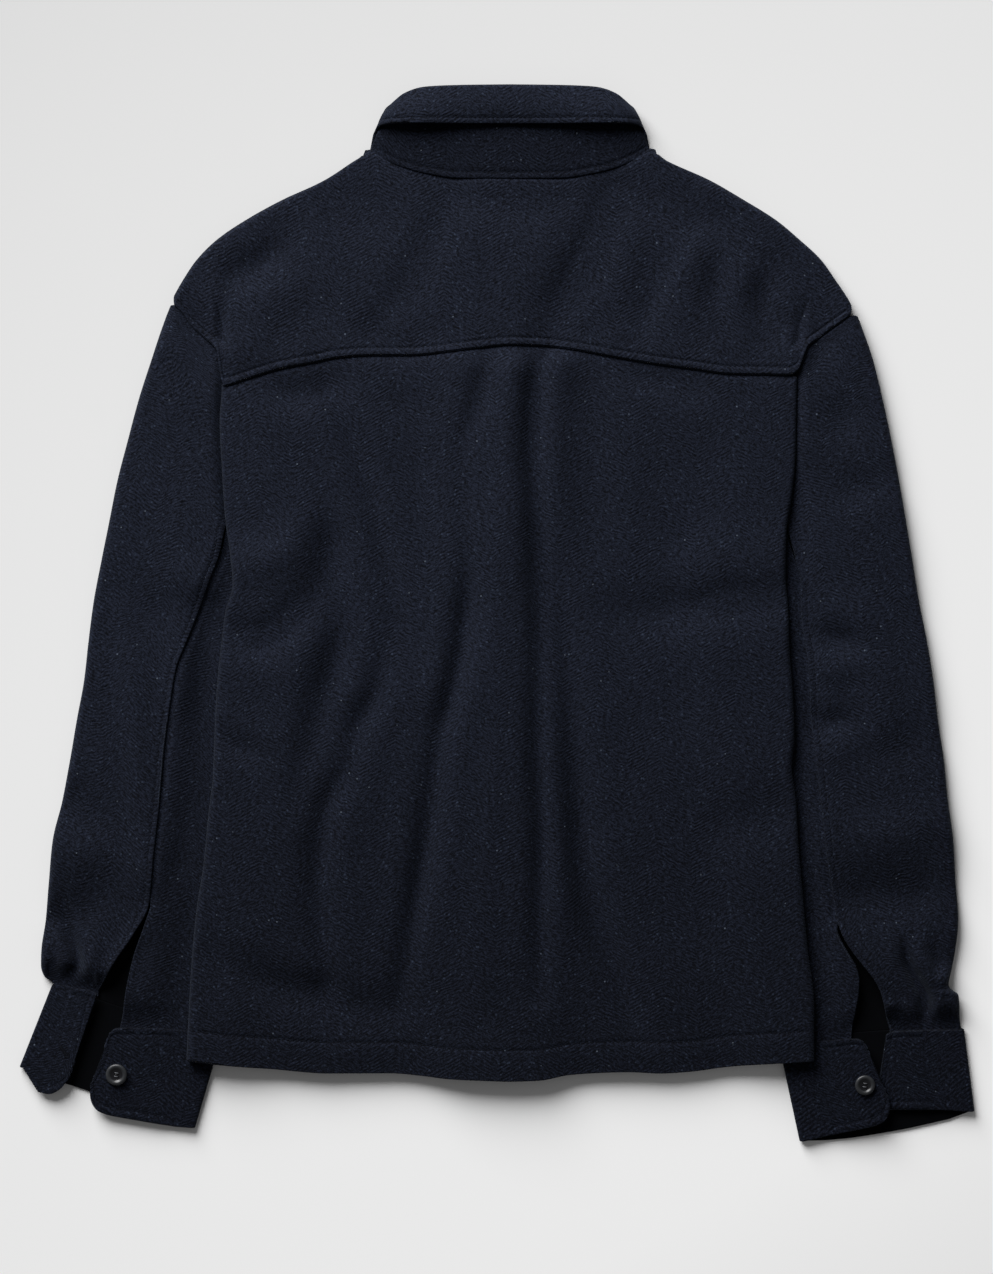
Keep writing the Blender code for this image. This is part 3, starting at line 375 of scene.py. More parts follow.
sleeveCuts = {
    1.0: {
        "puff": 6.6,
        "rise": 32.0,     # from the body's edge out to the full height, below rollY
        "rollY": 10.0,
        "creases": (
            (11, (-214, 4, 1.0), (-216, -20, 5.8), (-219, -60, 5.8), (-224, -90, 3.2),
             (-230, -150, 1.4), (-238, -190, 1.0)),
            (20, (-300, -220, 1.0), (-322, -234, 3.0), (-344, -232, 1.4)),
            (20, (-296, -176, -0.8), (-318, -184, -2.4), (-338, -184, -1.0)),
            (14, (-336, -130, 0.6), (-312, -150, 2.0), (-286, -170, 0.6)),
            (5.5, (-333, -222, 0.8), (-327, -240, 3.6), (-320, -256, 5.0), (-318, -266, 5.4),
             (-326, -281, 4.6)),
            (9, (-304, -240, -0.6), (-306, -262, -1.6), (-312, -280, -1.0)),
            (7, (-341, -248, 0.8), (-336, -268, 2.2), (-331, -281, 1.4)),
            (12, (-246, -206, 0.6), (-236, -190, 1.8), (-230, -160, 0.6)),
            (12, (-238, 232, 0.8), (-226, 214, 2.4), (-216, 196, 1.8)),
            (14, (-278, 60, 0.6), (-262, 40, 1.6), (-240, 28, 0.4)),
            (12, (-284, 0, -0.6), (-274, -70, -1.8), (-268, -140, -1.8), (-266, -200, -1.6)),
            (15, (-286, 50, -0.4), (-256, 36, -1.8), (-226, 24, -2.4), (-212, 20, -1.8)),
            (7, (-264, -232, -0.8), (-282, -256, -1.6), (-300, -282, -1.6)),
        ),
    },
    -1.0: {
        "puff": 5.6,
        "rise": 28.0,
        "rollY": 60.0,
        "creases": (
            (20, (258, -208, 1.6), (284, -216, 4.0), (312, -218, 4.0), (344, -206, 1.6)),
            (18, (262, -162, -0.8), (292, -168, -2.6), (330, -160, -1.2)),
            (10, (238, -14, 1.0), (262, -20, 3.2), (284, -26, 0.8)),
            (10, (236, -78, 1.8), (254, -83, 3.2), (276, -80, 0.6)),
            (9, (240, -42, -0.6), (256, -44, -1.4), (272, -40, -0.4)),
            (5.5, (310, -246, 0.8), (312, -264, 4.6), (319, -278, 6.2), (325.5, -292, 6.4),
             (326, -307, 5.0)),
            (7, (322, -256, -0.6), (328, -272, -2.0), (336, -288, -2.4), (337, -304, -1.0)),
            (8, (336, -236, 0.8), (334, -258, 2.6), (340, -276, 1.6)),
            (14, (300, 110, 0.6), (276, 96, 1.8), (250, 100, 0.6)),
            (14, (252, 168, 0.8), (262, 150, 2.0), (280, 140, 0.4)),
            (16, (330, -90, 0.6), (306, -104, 1.8), (282, -112, 0.6)),
            (12, (244, 222, 0.8), (246, 204, 2.2), (240, 190, 1.6)),
            (16, (268, 0, -0.6), (286, -40, -1.4), (300, -110, -0.8)),
            (7, (262, -240, -0.8), (284, -264, -1.6), (298, -296, -1.6)),
            (8, (300, -300, -1.2), (316, -306, -1.8), (340, -302, -1.4)),
        ),
    },
}


def yokeLevel(x, y):
    level = backLevel(x, y)
    for side in (leftSide, rightSide):
        inward = side["sign"] * (x - curve(side["fold"], y))
        share = ease((inward + 5.0) / 14.0)
        share = np.maximum(share, 1.0 - ease((y - 198.0) / 14.0))
        level = share * level + (1.0 - share) * sleeveLevel(side, x, y)
    return level


def frontLevel(x, y):
    neck = nearNeck(x, y)
    placket = nearPlacket(x, y, 19.0, 33.0)
    level = levels["floor"] + levels["placket"] * (1.0 - (1.0 - neck) * (1.0 - placket))
    above = 1.0 - ease((y - underarmY) / 40.0)
    for side in (leftSide, rightSide):
        level = level + (levels["tuck"] - levels["floor"]) * sideLift(side, x, y, 20.0) * above
    return level


def rightFrontLevel(x, y):
    beyond = (x - centreFront(y) - 23.0) / 14.0
    return frontLevel(x, y) + levels["lap"] * (1.0 - ease(beyond))


# Cloth from a grid of points along its middle

def normalsOf(grid):
    along = np.gradient(grid, axis=0)
    across = np.gradient(grid, axis=1)
    normal = np.cross(along, across)
    length = np.linalg.norm(normal, axis=2, keepdims=True)
    return normal / np.maximum(length, 1e-9)


rim = {"radius": 0.85, "angles": np.radians((35.0, 65.0, 90.0))}


def rimmed(grid, thickness):  # adds three rows at each edge, so that the cut edge is rounded
    radius = rim["radius"]
    for axis in (0, 1):
        work = np.swapaxes(grid, 0, axis)
        wall = np.swapaxes(thickness, 0, axis)
        rounded = []
        for end, inside in ((work[0], work[1]), (work[-1], work[-2])):
            out = end - inside
            out = out / np.maximum(np.linalg.norm(out, axis=-1, keepdims=True), 1e-6)
            start = end - out * radius
            rounded.append([start] + [start + out * radius * math.sin(a) for a in rim["angles"]])
        thin = [max(math.cos(a), 0.0) for a in rim["angles"]]
        work = np.concatenate([rounded[0][::-1], work[1:-1], rounded[1]])
        wall = np.concatenate([[wall[0] * part for part in thin[::-1]], wall,
                               [wall[-1] * part for part in thin]])
        grid = np.swapaxes(work, 0, axis)
        thickness = np.swapaxes(wall, 0, axis)
    return grid, thickness


def lengthsAlong(grid, axis):
    steps = np.linalg.norm(np.diff(grid, axis=axis), axis=2)
    total = np.cumsum(steps, axis=axis)
    pad = [(0, 0), (0, 0)]
    pad[axis] = (1, 0)
    return np.pad(total, pad)


def addObject(name, data):
    made = bpy.data.objects.new(name, data)
    bpy.context.scene.collection.objects.link(made)
    return made


cloths = {}


def addCloth(name, grid, grain, node, finish, wall=levels["wall"], flip=False, faceDown=False,
             doubled=False):
    padded, thick = rimmed(grid, np.full(grid.shape[:2], wall))
    more = len(rim["angles"])
    lines = np.concatenate([grain, np.zeros(grid.shape[:2] + (1,))], axis=2)
    lines = np.pad(lines, ((more, more), (more, more), (0, 0)), mode="edge")
    normal = normalsOf(padded)
    outer = (padded + normal * thick[..., None] / 2).reshape(-1, 3)
    inner = (padded - normal * thick[..., None] / 2).reshape(-1, 3)
    rows, columns = padded.shape[:2]
    index = np.arange(rows * columns).reshape(rows, columns)
    other = index + rows * columns
    edge = np.ones((rows, columns), bool)
    edge[1:-1, 1:-1] = False
    other = np.where(edge, index, other)
    quads = joined(index[:-1, :-1], index[1:, :-1], index[1:, 1:], index[:-1, 1:])
    backs = joined(other[:-1, :-1], other[:-1, 1:], other[1:, 1:], other[1:, :-1])
    faces = np.concatenate([quads.reshape(-1, 4), backs.reshape(-1, 4)])
    points = np.concatenate([outer, inner])
    used, renumbered = np.unique(faces, return_inverse=True)
    points = (points[used] + shift) * mm
    points[:, 2] = np.maximum(points[:, 2], 0.0)
    lines = np.concatenate([lines.reshape(-1, 3)] * 2)[used]
    faces = renumbered.reshape(-1, 4)
    if flip:
        faces = faces[:, ::-1]
    mesh = bpy.data.meshes.new(name + "Cloth")
    mesh.from_pydata(points.tolist(), [], faces.tolist())
    stored = mesh.attributes.new("grain", "FLOAT_VECTOR", "POINT")
    stored.data.foreach_set("vector", lines.astype(np.float32).ravel())
    mesh.shade_smooth()
    mesh.materials.append(finish)
    mesh.materials.append(finish if doubled else insideShadePaint)
    highest = grid[..., 2] > np.quantile(grid[..., 2], 0.97)
    outerUp = normalsOf(grid)[..., 2][highest].sum() > 0
    sides = [0, 1] if outerUp != faceDown else [1, 0]  # the finish outside; inside, near-black painted shade
    mesh.polygons.foreach_set("material_index", np.repeat(sides, len(faces) // 2).astype(np.int32))
    piece = addObject(name + "Cloth", mesh)
    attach(piece, "root")
    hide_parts(node)
    cloths[name] = piece
    print(piece.name, "faces", len(faces), "cloth area m2", round(clothArea(grid), 4))


def clothArea(grid):
    a = grid[1:, :-1] - grid[:-1, :-1]
    b = grid[:-1, 1:] - grid[:-1, :-1]
    return float(np.linalg.norm(np.cross(a, b), axis=2).sum()) * mm * mm


def halfTurn(centreX, y, upper, lower, sign, count):  # from the upper level round to the lower one
    radius = (upper - lower) / 2.0
    made = []
    for angle in np.linspace(0.0, np.pi, count)[1:-1]:
        made.append(joined(centreX + sign * radius * np.sin(angle), y,
                           (upper + lower) / 2.0 + radius * np.cos(angle)))
    return made


# Materials

class Link:  # a socket that can stand in a plain sum
    def __init__(self, paint, socket):
        self.paint = paint
        self.socket = socket

    def __add__(self, other):
        return self.paint.math("ADD", self, other)

    def __sub__(self, other):
        return self.paint.math("SUBTRACT", self, other)

    def __rsub__(self, other):
        return self.paint.math("SUBTRACT", other, self)

    def __mul__(self, other):
        return self.paint.math("MULTIPLY", self, other)

    def __truediv__(self, other):
        return self.paint.math("DIVIDE", self, other)


class Paint:
    def __init__(self, name):
        self.made = bpy.data.materials.new(name)
        self.made.use_nodes = True
        self.tree = self.made.node_tree
        self.shader = self.tree.nodes["Principled BSDF"]

    def node(self, kind, settings, sockets, out=0):
        made = self.tree.nodes.new(kind)
        for key, value in settings.items():
            setattr(made, key, value)
        for key, value in sockets.items():
            self.plug(made.inputs[key], value)
        return Link(self, made.outputs[out])

    def plug(self, socket, value):
        if isinstance(value, Link):
            self.tree.links.new(value.socket, socket)
        else:
            socket.default_value = value

    def math(self, operation, first, second=0.0):
        return self.node("ShaderNodeMath", {"operation": operation}, {0: first, 1: second})

    def held(self, value):
        return self.node("ShaderNodeClamp", {}, {0: value})

    def smooth(self, value, low, high):
        return self.node("ShaderNodeMapRange", {"interpolation_type": "SMOOTHSTEP"},
                         {"Value": value, "From Min": low, "From Max": high})

    def mix(self, share, first, second):
        return self.node("ShaderNodeMix", {"data_type": "RGBA"}, {0: share, 6: first, 7: second}, 2)

    def noise(self, vector, scale, detail, rough=0.5):
        return self.node("ShaderNodeTexNoise", {},
                         {"Vector": vector, "Scale": scale, "Detail": detail, "Roughness": rough})

    def place(self):
        return self.node("ShaderNodeTexCoord", {}, {}, "Object")

    def split(self, vector):  # x, y and z apart
        made = self.node("ShaderNodeSeparateXYZ", {}, {"Vector": vector})
        return [Link(self, out) for out in made.socket.node.outputs]

    def bump(self, strength, distance, height):
        return self.node("ShaderNodeBump", {},
                         {"Strength": strength, "Distance": distance, "Height": height})

    def surface(self, values):
        for key, value in values.items():
            self.plug(self.shader.inputs[key], value)
        return self.made


def rgb(red, green, blue):
    return (red, green, blue, 1.0)


def tinted(colour, paintedLightFactor):
    return tuple(part * paintedLightFactor for part in colour[:3]) + (1.0,)


woolLook = {
    "dark": rgb(0.0007, 0.0010, 0.0028),
    "light": rgb(0.0100, 0.0135, 0.0262),
    "fleck": rgb(0.095, 0.115, 0.145),
    "blueFleck": rgb(0.030, 0.041, 0.068),
    # painted shade: the next two are the dark colour laid on steep faces such as turned edges, and how much
    # of it
    "edge": rgb(0.0004, 0.0005, 0.0009),
    "steepShadeShare": 0.7,
    "column": 26.2,         # width of one herringbone column, mm
    "pitch": 2.7,           # from one rib to the next, mm
    "slope": 0.52,
    "shadeTowardsHem": 0.20,       # painted shade: how much darker the cloth is painted towards the hem, where the lamp's light falls off
    "level": 0.46,          # middle tone of the cloth
    "drift": 28.0,          # this and the next four are pattern scales, a metre
    "waver": 210.0,
    "fibre": 900.0,
    "clear": 60.0,
    "flecks": 330.0,
    "bump": 0.7,
    "bumpDepth": 0.0007,
    "specular": 0.12,
    "sheen": 0.08,
    "sheenRough": 0.45,
    "sheenTint": rgb(0.42, 0.52, 0.75),
}


# the last argument paints light and shade into a copy of the wool: it scales its colour, flecks, specular
# and sheen, below 1 darker, above 1 lighter
def woolCloth(name, columnStart=-105.6, paintedLightFactor=1.0):
    look = woolLook
    paint = Paint(name)
    place = paint.place()
    u, v, _ = paint.split(paint.node("ShaderNodeAttribute", {"attribute_name": "grain"}, {}, "Vector"))
    drift = paint.noise(place, look["drift"], 2.0) - 0.5
    waver = paint.noise(place, look["waver"], 2.0) - 0.5
    u = u + drift * 9.0 + waver * 2.6
    v = v + drift * 4.0 + waver * 2.4
    # herringbone ribs, clear in some places and felted over in others
    period = 2.0 * look["column"]
    zigzag = paint.math("FRACT", (u - columnStart) / period) - 0.5
    zigzag = paint.math("ABSOLUTE", zigzag) * period
    rib = v + zigzag * look["slope"]
    wave = paint.math("SINE", rib * (2.0 * math.pi / look["pitch"])) * 0.5 + 0.5
    yarn = paint.node("ShaderNodeCombineXYZ", {}, {"X": u * 0.32, "Y": rib * 0.74, "Z": 0.0})
    yarn = paint.noise(yarn, 1.0, 3.0, 0.62)
    fibre = paint.noise(place, look["fibre"], 3.0, 0.7)
    clear = paint.smooth(paint.noise(place, look["clear"], 1.0), 0.38, 0.66)
    # painted shade: cloth lower down is painted darker, for the lamp's light falling off towards the hem
    low = paint.held(paint.split(place)[1] * -3.2 - 0.10)
    light = (wave - 0.5) * (clear * 0.30 + 0.10) + (yarn - 0.5) * 3.2 + (fibre - 0.5) * 2.6
    light = paint.held(light + look["level"] - low * look["shadeTowardsHem"])
    colour = paint.mix(light, tinted(look["dark"], paintedLightFactor), tinted(look["light"], paintedLightFactor))
    # white and blue flecks in a few of the cells
    speck = paint.node("ShaderNodeTexVoronoi", {}, {"Vector": place, "Scale": look["flecks"]}, "Distance")
    chance = paint.split(Link(paint, speck.socket.node.outputs["Color"]))
    white = paint.smooth(speck, 0.24, 0.12) * paint.smooth(chance[0], 0.987, 0.992)
    blue = paint.smooth(speck, 0.34, 0.16) * paint.smooth(chance[1], 0.80, 0.86)
    colour = paint.mix(blue * (0.5 * paintedLightFactor), colour, look["blueFleck"])
    colour = paint.mix(white * (0.7 * paintedLightFactor), colour, look["fleck"])
    # painted shade: steep faces, such as turned edges, take a darker colour
    steep = paint.math("ABSOLUTE", paint.split(paint.node("ShaderNodeNewGeometry", {}, {}, "Normal"))[2])
    colour = paint.mix(paint.smooth(steep, 0.82, 0.25) * look["steepShadeShare"], colour, look["edge"])
    height = wave * (clear * 0.30 + 0.12) + yarn * 0.95 + fibre * 0.60
    return paint.surface({
        "Base Color": colour,
        "Roughness": 0.96 - light * 0.12,
        "Normal": paint.bump(look["bump"], look["bumpDepth"], height),
        "Specular IOR Level": look["specular"] * paintedLightFactor,
        "Sheen Weight": look["sheen"] * paintedLightFactor,
        "Sheen Roughness": look["sheenRough"],
        "Sheen Tint": look["sheenTint"],
    })


def plainPaint(name, dark, light, scale, rough, bump, specular=0.5):
    paint = Paint(name)
    place = paint.place()
    cloud = paint.noise(place, scale, 4.0)
    return paint.surface({
        "Base Color": paint.mix(cloud, rgb(*dark), rgb(*light)),
        "Roughness": cloud * 0.12 + rough,
        "Normal": paint.bump(bump, 0.0002, paint.noise(place, scale * 3.0, 3.0)),
        "Specular IOR Level": specular,
    })


backWool = woolCloth("woolBack")
yokeWool = woolCloth("woolYoke", -118.0)
sleeveWool = woolCloth("woolSleeve", 6.0)
# painted light and shade: the cuffs are a darker copy of the wool and the collar leaf a lighter one, for
# the lamp's light falling from the collar side
cuffShadedWool = woolCloth("woolCuffShaded", 4.0, 0.90)
collarLitWool = woolCloth("woolCollarLit", 0.0, 1.05)
# painted shade: the stand is a much darker copy of the wool, for the shade under the collar leaf
standShadedWool = woolCloth("woolStandShaded", 0.0, 0.62)
frontWool = woolCloth("woolFront", 14.0)
# painted shade: near-black colour for the inside faces, where shade falls inside the sleeves, slits and
# cuffs
insideShadePaint = plainPaint("insideShade", (0.0006, 0.0007, 0.0011), (0.0016, 0.0019, 0.0028), 700.0, 0.85, 0.5,
                        0.05)
threadPaint = plainPaint("navyThread", (0.0012, 0.0016, 0.0034), (0.004, 0.005, 0.009), 900.0, 0.75, 0.4,
                         0.1)
hornPaint = plainPaint("buttonHorn", (0.002, 0.002, 0.003), (0.006, 0.006, 0.008), 160.0, 0.20, 0.15)
rimPaint = plainPaint("buttonRim", (0.008, 0.009, 0.011), (0.024, 0.026, 0.029), 240.0, 0.34, 0.25)
sewPaint = plainPaint("buttonThread", (0.040, 0.043, 0.050), (0.100, 0.105, 0.115), 900.0, 0.6, 0.4)
print("materials made")


# Back panel, over the top between its side folds and turned under to the side seams

def rowShares(low, high, middle, length):  # finer rows over the first and last millimetres
    bottom = np.arange(0.0, low, 0.9) / length
    top = 1.0 - np.arange(0.0, high, 0.9)[::-1] / length
    count = int((length - low - high) / middle)
    return np.concatenate([bottom, np.linspace(bottom[-1], top[0], count)[1:-1], top])


def backGrid():
    length = backCut["length"]
    shares = rowShares(30.0, 5.0, 3.3, length)[:, None]
    lap = backCut["seamLap"]
    nominal = -350.0 + shares * 540.0      # near enough to find the side folds
    ends = []
    for side in (leftSide, rightSide):
        sign = side["sign"]
        foldX = curve(side["fold"], nominal)
        low = curve(hemLine, foldX)
        high = curve(yokeSeam, foldX) + lap
        y = low + shares * (high - low)
        edge = curve(side["fold"], y)
        upper = backLevel(edge + sign * 4.0, y)
        radius = (upper - levels["tuck"]) / 2.0
        centre = edge + sign * (radius + levels["wall"] / 2)
        under = []
        for part in evenly(12):
            x = tuckEnd(side, y) + part * (centre - tuckEnd(side, y))
            under.append(joined(x, y, np.full_like(x, levels["tuck"]))[:, 0])
        turn = halfTurn(centre[:, 0], y[:, 0], upper[:, 0], levels["tuck"], -sign, 11)[::-1]
        ends.append((under + turn, centre))
    (left, leftX), (right, rightX) = ends
    parts = evenly(backCut["columns"])[None, :]
    x = leftX + parts * (rightX - leftX)
    low = curve(hemLine, x)
    high = curve(yokeSeam, x) + lap
    y = low + shares * (high - low)
    z = backLevel(x, y)
    fromHem = y - curve(hemLine, x) - backCut["hemWidth"]
    z = z - 0.75 * groove(fromHem, 1.5) + 0.45 * groove(fromHem + 9.0, 8.0)
    z = z - 1.25 * ease((y - high + 6.5) / 5.0)
    top = joined(x, y, z)
    left = np.stack(left, axis=1)
    right = np.stack(right[::-1], axis=1)
    return np.concatenate([left, top, right], axis=1)


def centredGrain(grid, middleX):  # across from the middle, up by y
    across = lengthsAlong(grid, 1)
    start = np.argmin(np.abs(grid[..., 0] - middleX) - grid[..., 2] * 0.01, axis=1)
    across = across - np.take_along_axis(across, start[:, None], axis=1) + middleX
    return joined(across, grid[..., 1])


grid = backGrid()
addCloth("backPanel", grid, centredGrain(grid, 0.0), "back_panel", backWool)


# Back yoke, over the shoulders and wrapped a little to the front

def yokeLowerEdge(x):
    left = [(px, py) for py, px in leftSide["topEdge"] if py > 195]
    right = [(px, py) for py, px in rightSide["topEdge"] if py > 200]
    rows = left + [(-208.7, 181.0)] + [row for row in yokeSeam if -208 < row[0] < 212]
    return curve(rows + [(222.0, 180.2), (228.5, 184.0), (232.0, 193.0)] + right, x)


def yokeFrontEdge(x):
    least, more, start, fade = yokeCut["wrap"]
    pastNeck = np.abs(x - neckX) - yokeCut["neckHalf"]
    depth = least + more * ease((pastNeck - start) / fade)
    left = [(px, py) for py, px in leftSide["armhole"] if py > 128]
    right = [(px, py) for py, px in rightSide["armhole"] if py > 128]
    armhole = np.where(x < 0, curve(left, x), curve(right, x))
    return np.maximum(curve(shoulderLine, x) - depth, armhole + 1.0)


def yokeGrid():
    x = np.concatenate([np.linspace(-244.5, -215, 18)[:-1], np.linspace(-215, -200, 20)[:-1],
                        np.linspace(-200, 218, 146)[:-1], np.linspace(218, 240, 32),
                        np.linspace(240, 269, 18)[1:]])[:, None]
    low = yokeLowerEdge(x) + yokeCut["gap"]
    pastNeck = np.abs(x - neckX) - yokeCut["neckHalf"]
    bend = np.maximum(ease((pastNeck + 1.0) / 9.0), 0.12)
    high = curve(shoulderLine, x) - 0.3 - 0.6 * bend
    under = levels["floor"] + levels["placket"] * nearNeck(x, high)
    upper = yokeLevel(x, high - 3.0)
    radius = (upper - under) / 2.0
    lapY = high - radius
    fine = np.arange(0.0, 11.5, 0.8)[None, :]
    reach = lapY - low
    shares = np.concatenate([fine / 60.0 * np.ones_like(x), np.linspace(11.6, 60.0, 46)[None, 1:] / 60.0
                             * np.ones_like(x)], axis=1)
    nearSeam = shares < 0.19      # the finer rows, up to 11.2 mm
    distance = np.where(nearSeam, shares * 60.0, 0.0)
    fineEnd = np.minimum(11.2, reach * 0.93)
    y = low + np.where(nearSeam, np.minimum(distance, reach * shares * 5.0),
                       fineEnd + (shares - 0.1867) / 0.8133 * (reach - fineEnd))
    z = yokeLevel(x, y)
    blend = ease((y - lapY + 12.0) / 12.0)
    z = z * (1.0 - blend) + upper * blend
    fromSeam = y - low
    ridge = yokeCut["ridge"]
    z = z + 0.75 * (1.0 - ease((fromSeam - ridge + 1.0) / 5.0)) - 1.15 * groove(fromSeam - ridge, 1.4)
    z = z + 0.25 * groove(fromSeam - ridge / 2, 2.0)
    columns = [joined(x[:, 0], y[:, k], z[:, k]) for k in range(y.shape[1])]
    turnBy = np.pi * bend[:, 0]
    for part in evenly(13)[1:]:
        angle = turnBy * part
        columns.append(joined(x[:, 0], lapY[:, 0] + radius[:, 0] * np.sin(angle),
                              upper[:, 0] - radius[:, 0] + radius[:, 0] * np.cos(angle)))
    end = columns[-1]
    front = np.minimum(yokeFrontEdge(x[:, 0]), lapY[:, 0] - 1.0) - end[:, 1]
    full = bend[:, 0] > 0.99      # away from the neck, where the yoke wraps to the front
    for part in evenly(11)[1:]:
        wrapY = end[:, 1] + front * part
        wrapZ = levels["floor"] + levels["placket"] * nearNeck(x[:, 0], wrapY)
        shortY = end[:, 1] + np.cos(turnBy) * part * 5.0
        shortZ = end[:, 2] - np.sin(turnBy) * part * 5.0
        columns.append(joined(x[:, 0], np.where(full, wrapY, shortY),
                              np.where(full, wrapZ, shortZ)))
    return np.stack(columns, axis=1)


grid = yokeGrid()
grain = joined(grid[..., 0], lengthsAlong(grid, 1) + grid[:, :1, 1])
addCloth("backYoke", grid, grain, "back_yoke", yokeWool, flip=True)


# Sleeves: a top piece with the outer fold, and an under piece with the inner one

leftCuffCut = {
    "buttonRun": ((-295.3, -324.1, -308.2, -358.3, 6.4), (-292.2, -317.3, -308.2, -368.2, 6.4),
                  (-289.2, -315, -304.4, -376.6, 6.3), (-284.6, -314.6, -297.5, -380.4, 6.0),
                  (-263.3, -315, -271, -385.7, 5.2), (-232.9, -317.3, -244.3, -390.3, 4.4)),
    "innerTurn": (-209.5, -319.6, -230.5, -391.2),
    "underRun": ((-232, -312, -252, -387.5, 1.2), (-263.3, -305.9, -271, -379, 1.2),
                 (-309, -291.5, -312.7, -362.9, 1.2), (-326.5, -285.2, -339.3, -354.5, 1.2)),
    "outerTurn": (-336.8, -282.2, -361.8, -345.4),
    "loopRun": ((-325.6, -283, -348.5, -363.7, 5.4), (-318, -284.6, -340.1, -365.2, 6.4),
                (-310.5, -285.8, -332.5, -362.1, 7.4), (-305.9, -286.9, -326.4, -355.3, 8.0),
                (-302.9, -289.2, -322.6, -347, 8.2)),
    "outward": -1,
    "button": (-288.4, -350.0),
    "hole": (-326.0, -335.5),
}
rightCuffCut = {
    "buttonRun": ((280.8, -328.7, 297.5, -367.5, 8.6), (277, -324.1, 298.3, -375.8, 8.6),
                  (273.2, -322.6, 295.3, -384.2, 8.6), (267.1, -322.6, 287.7, -388.7, 8.3),
                  (255, -324.1, 272.5, -392.5, 7.2), (239.8, -324.9, 251.9, -397.1, 4.8)),
    "innerTurn": (215.5, -325.7, 231.8, -401.5),
    "underRun": ((240, -323.5, 252, -401, 1.2), (253.5, -321.1, 268.7, -399.4, 1.2),
                 (291.5, -317.3, 306.7, -393.3, 1.2), (337, -315.8, 344.7, -384.9, 1.2)),
    "outerTurn": (354.5, -315.8, 362.5, -378.9),
    "loopRun": ((329.5, -316.2, 337, -377.3, 5.2), (310.5, -316.5, 315.8, -377.3, 5.6),
                (301.3, -317.3, 299.5, -377.3, 5.4), (296.2, -319.6, 287.5, -375, 5.2)),
    "outward": 1,
    "button": (279.3, -357.6),
}
bothSides = ((leftSide, leftCuffCut), (rightSide, rightCuffCut))
sleeveEnd = -285.0      # near the top of the cuffs
underCuff = {"top": 2.2, "under": 0.4, "from": 2.4, "drop": 22.0, "height": 3.2}


def frontSeam(side, y):
    below = curve(side["inner"], y) - side["sign"] * 25.0
    share = np.clip(1.0 - (y - underarmY) / (125.0 - underarmY), 0.0, 1.0)
    above = curve(side["armhole"], y) - side["sign"] * 25.0 * share
    return np.where(y < underarmY, below, above)


def cuffLine(rows, x):
    return curve([(row[0], row[1]) for row in rows], x)


def intoCuff(z, y, end):  # the cloth drops under the edge of the cuff
    share = 1.0 - ease((y - end - underCuff["from"]) / underCuff["drop"])
    return z * (1.0 - share) + np.minimum(z, underCuff["height"]) * share


def settled(line, lap, across, y, shares, top):  # x, y and the cut end, which depend on each other
    x = across(y)
    for attempt in range(4):
        end = cuffLine(line, x) - lap
        y = end + shares * (top - end)
        x = across(y)
    return x, y, end


def sleeveTopGrid(side, cuff):
    sign = side["sign"]
    top = side["sleeveTop"]
    shares = rowShares(44.0, 10.0, 3.4, 520.0)
    wide = 42
    loop = [cuff["outerTurn"][:2]] + [row[:2] for row in cuff["loopRun"]]
    under = [cuff["outerTurn"][:2]] + [row[:2] for row in cuff["underRun"]] + [cuff["innerTurn"][:2]]
    near = np.arange(0.0, 9.0, 0.8)
    columns = []
    for step in range(len(near) + wide):
        y = sleeveEnd + shares * (top - sleeveEnd)
        end = sleeveEnd
        for attempt in range(4):
            edge = curve(side["topEdge"], y) - sign * 0.4 + sign * 4.5 * ease((y - 194.0) / 10.0)
            outer = curve(side["outer"], y)
            level = intoCuff(sleeveLevel(side, outer + sign * 12.0, y), y, end)
            radius = (level - levels["floor"]) / 2.0
            centre = outer + sign * (radius + levels["wall"] / 2)
            width = np.abs(centre - edge)
            if step < len(near):
                part = np.minimum(near[step] / width, 0.9 * (step + 1) / len(near))
            else:
                first = np.minimum(near[-1] / width, 0.9)
                part = first + (1.0 - first) * (step - len(near) + 1) / wide
            x = edge + part * (centre - edge)
            end = cuffLine(loop, x) - underCuff["top"]
            y = end + shares * (top - end)
        if step == len(near) + wide - 1:
            z = level
        else:
            fromEdge = np.abs(x - edge)
            shown = shownSleeve(side, x, y) * ease((208.0 - y) / 10.0)
            z = sleeveLevel(side, x, y)
            roll = ease((part - 0.75) / 0.25)
            z = z * (1.0 - roll) + level * roll
            z = z + shown * (0.95 * groove(fromEdge, 5.5) - 0.55 * groove(fromEdge - 4.4, 1.2))
            z = intoCuff(z, y, end)
        z = z - 1.5 * ease((y - yokeUnder(side, x) + 2.0) / 3.5)
        columns.append(joined(x, y, z))
    columns += halfTurn(centre, y, level, levels["floor"], -sign, 13)
    for part in evenly(20):
        for attempt in range(4):
            outer = curve(side["outer"], y)
            centre = outer + sign * (radius + levels["wall"] / 2)
            seam = np.where(y > 125.0, curve(side["armhole"], y) - sign * 1.0,
                            frontSeam(side, y) - sign * 1.0)
            x = centre + part * (seam - centre)
            end = cuffLine(under, x) - underCuff["under"]
            y = end + shares * (top - end)
        columns.append(joined(x, y, np.full_like(x, levels["floor"])))
    return np.stack(columns, axis=1)


def yokeUnder(side, x):
    rows = [(px, py) for py, px in side["topEdge"] if py > 190]
    return np.where(side["sign"] * (x - curve(side["fold"], 215.0)) < 0, curve(rows, x), 900.0)


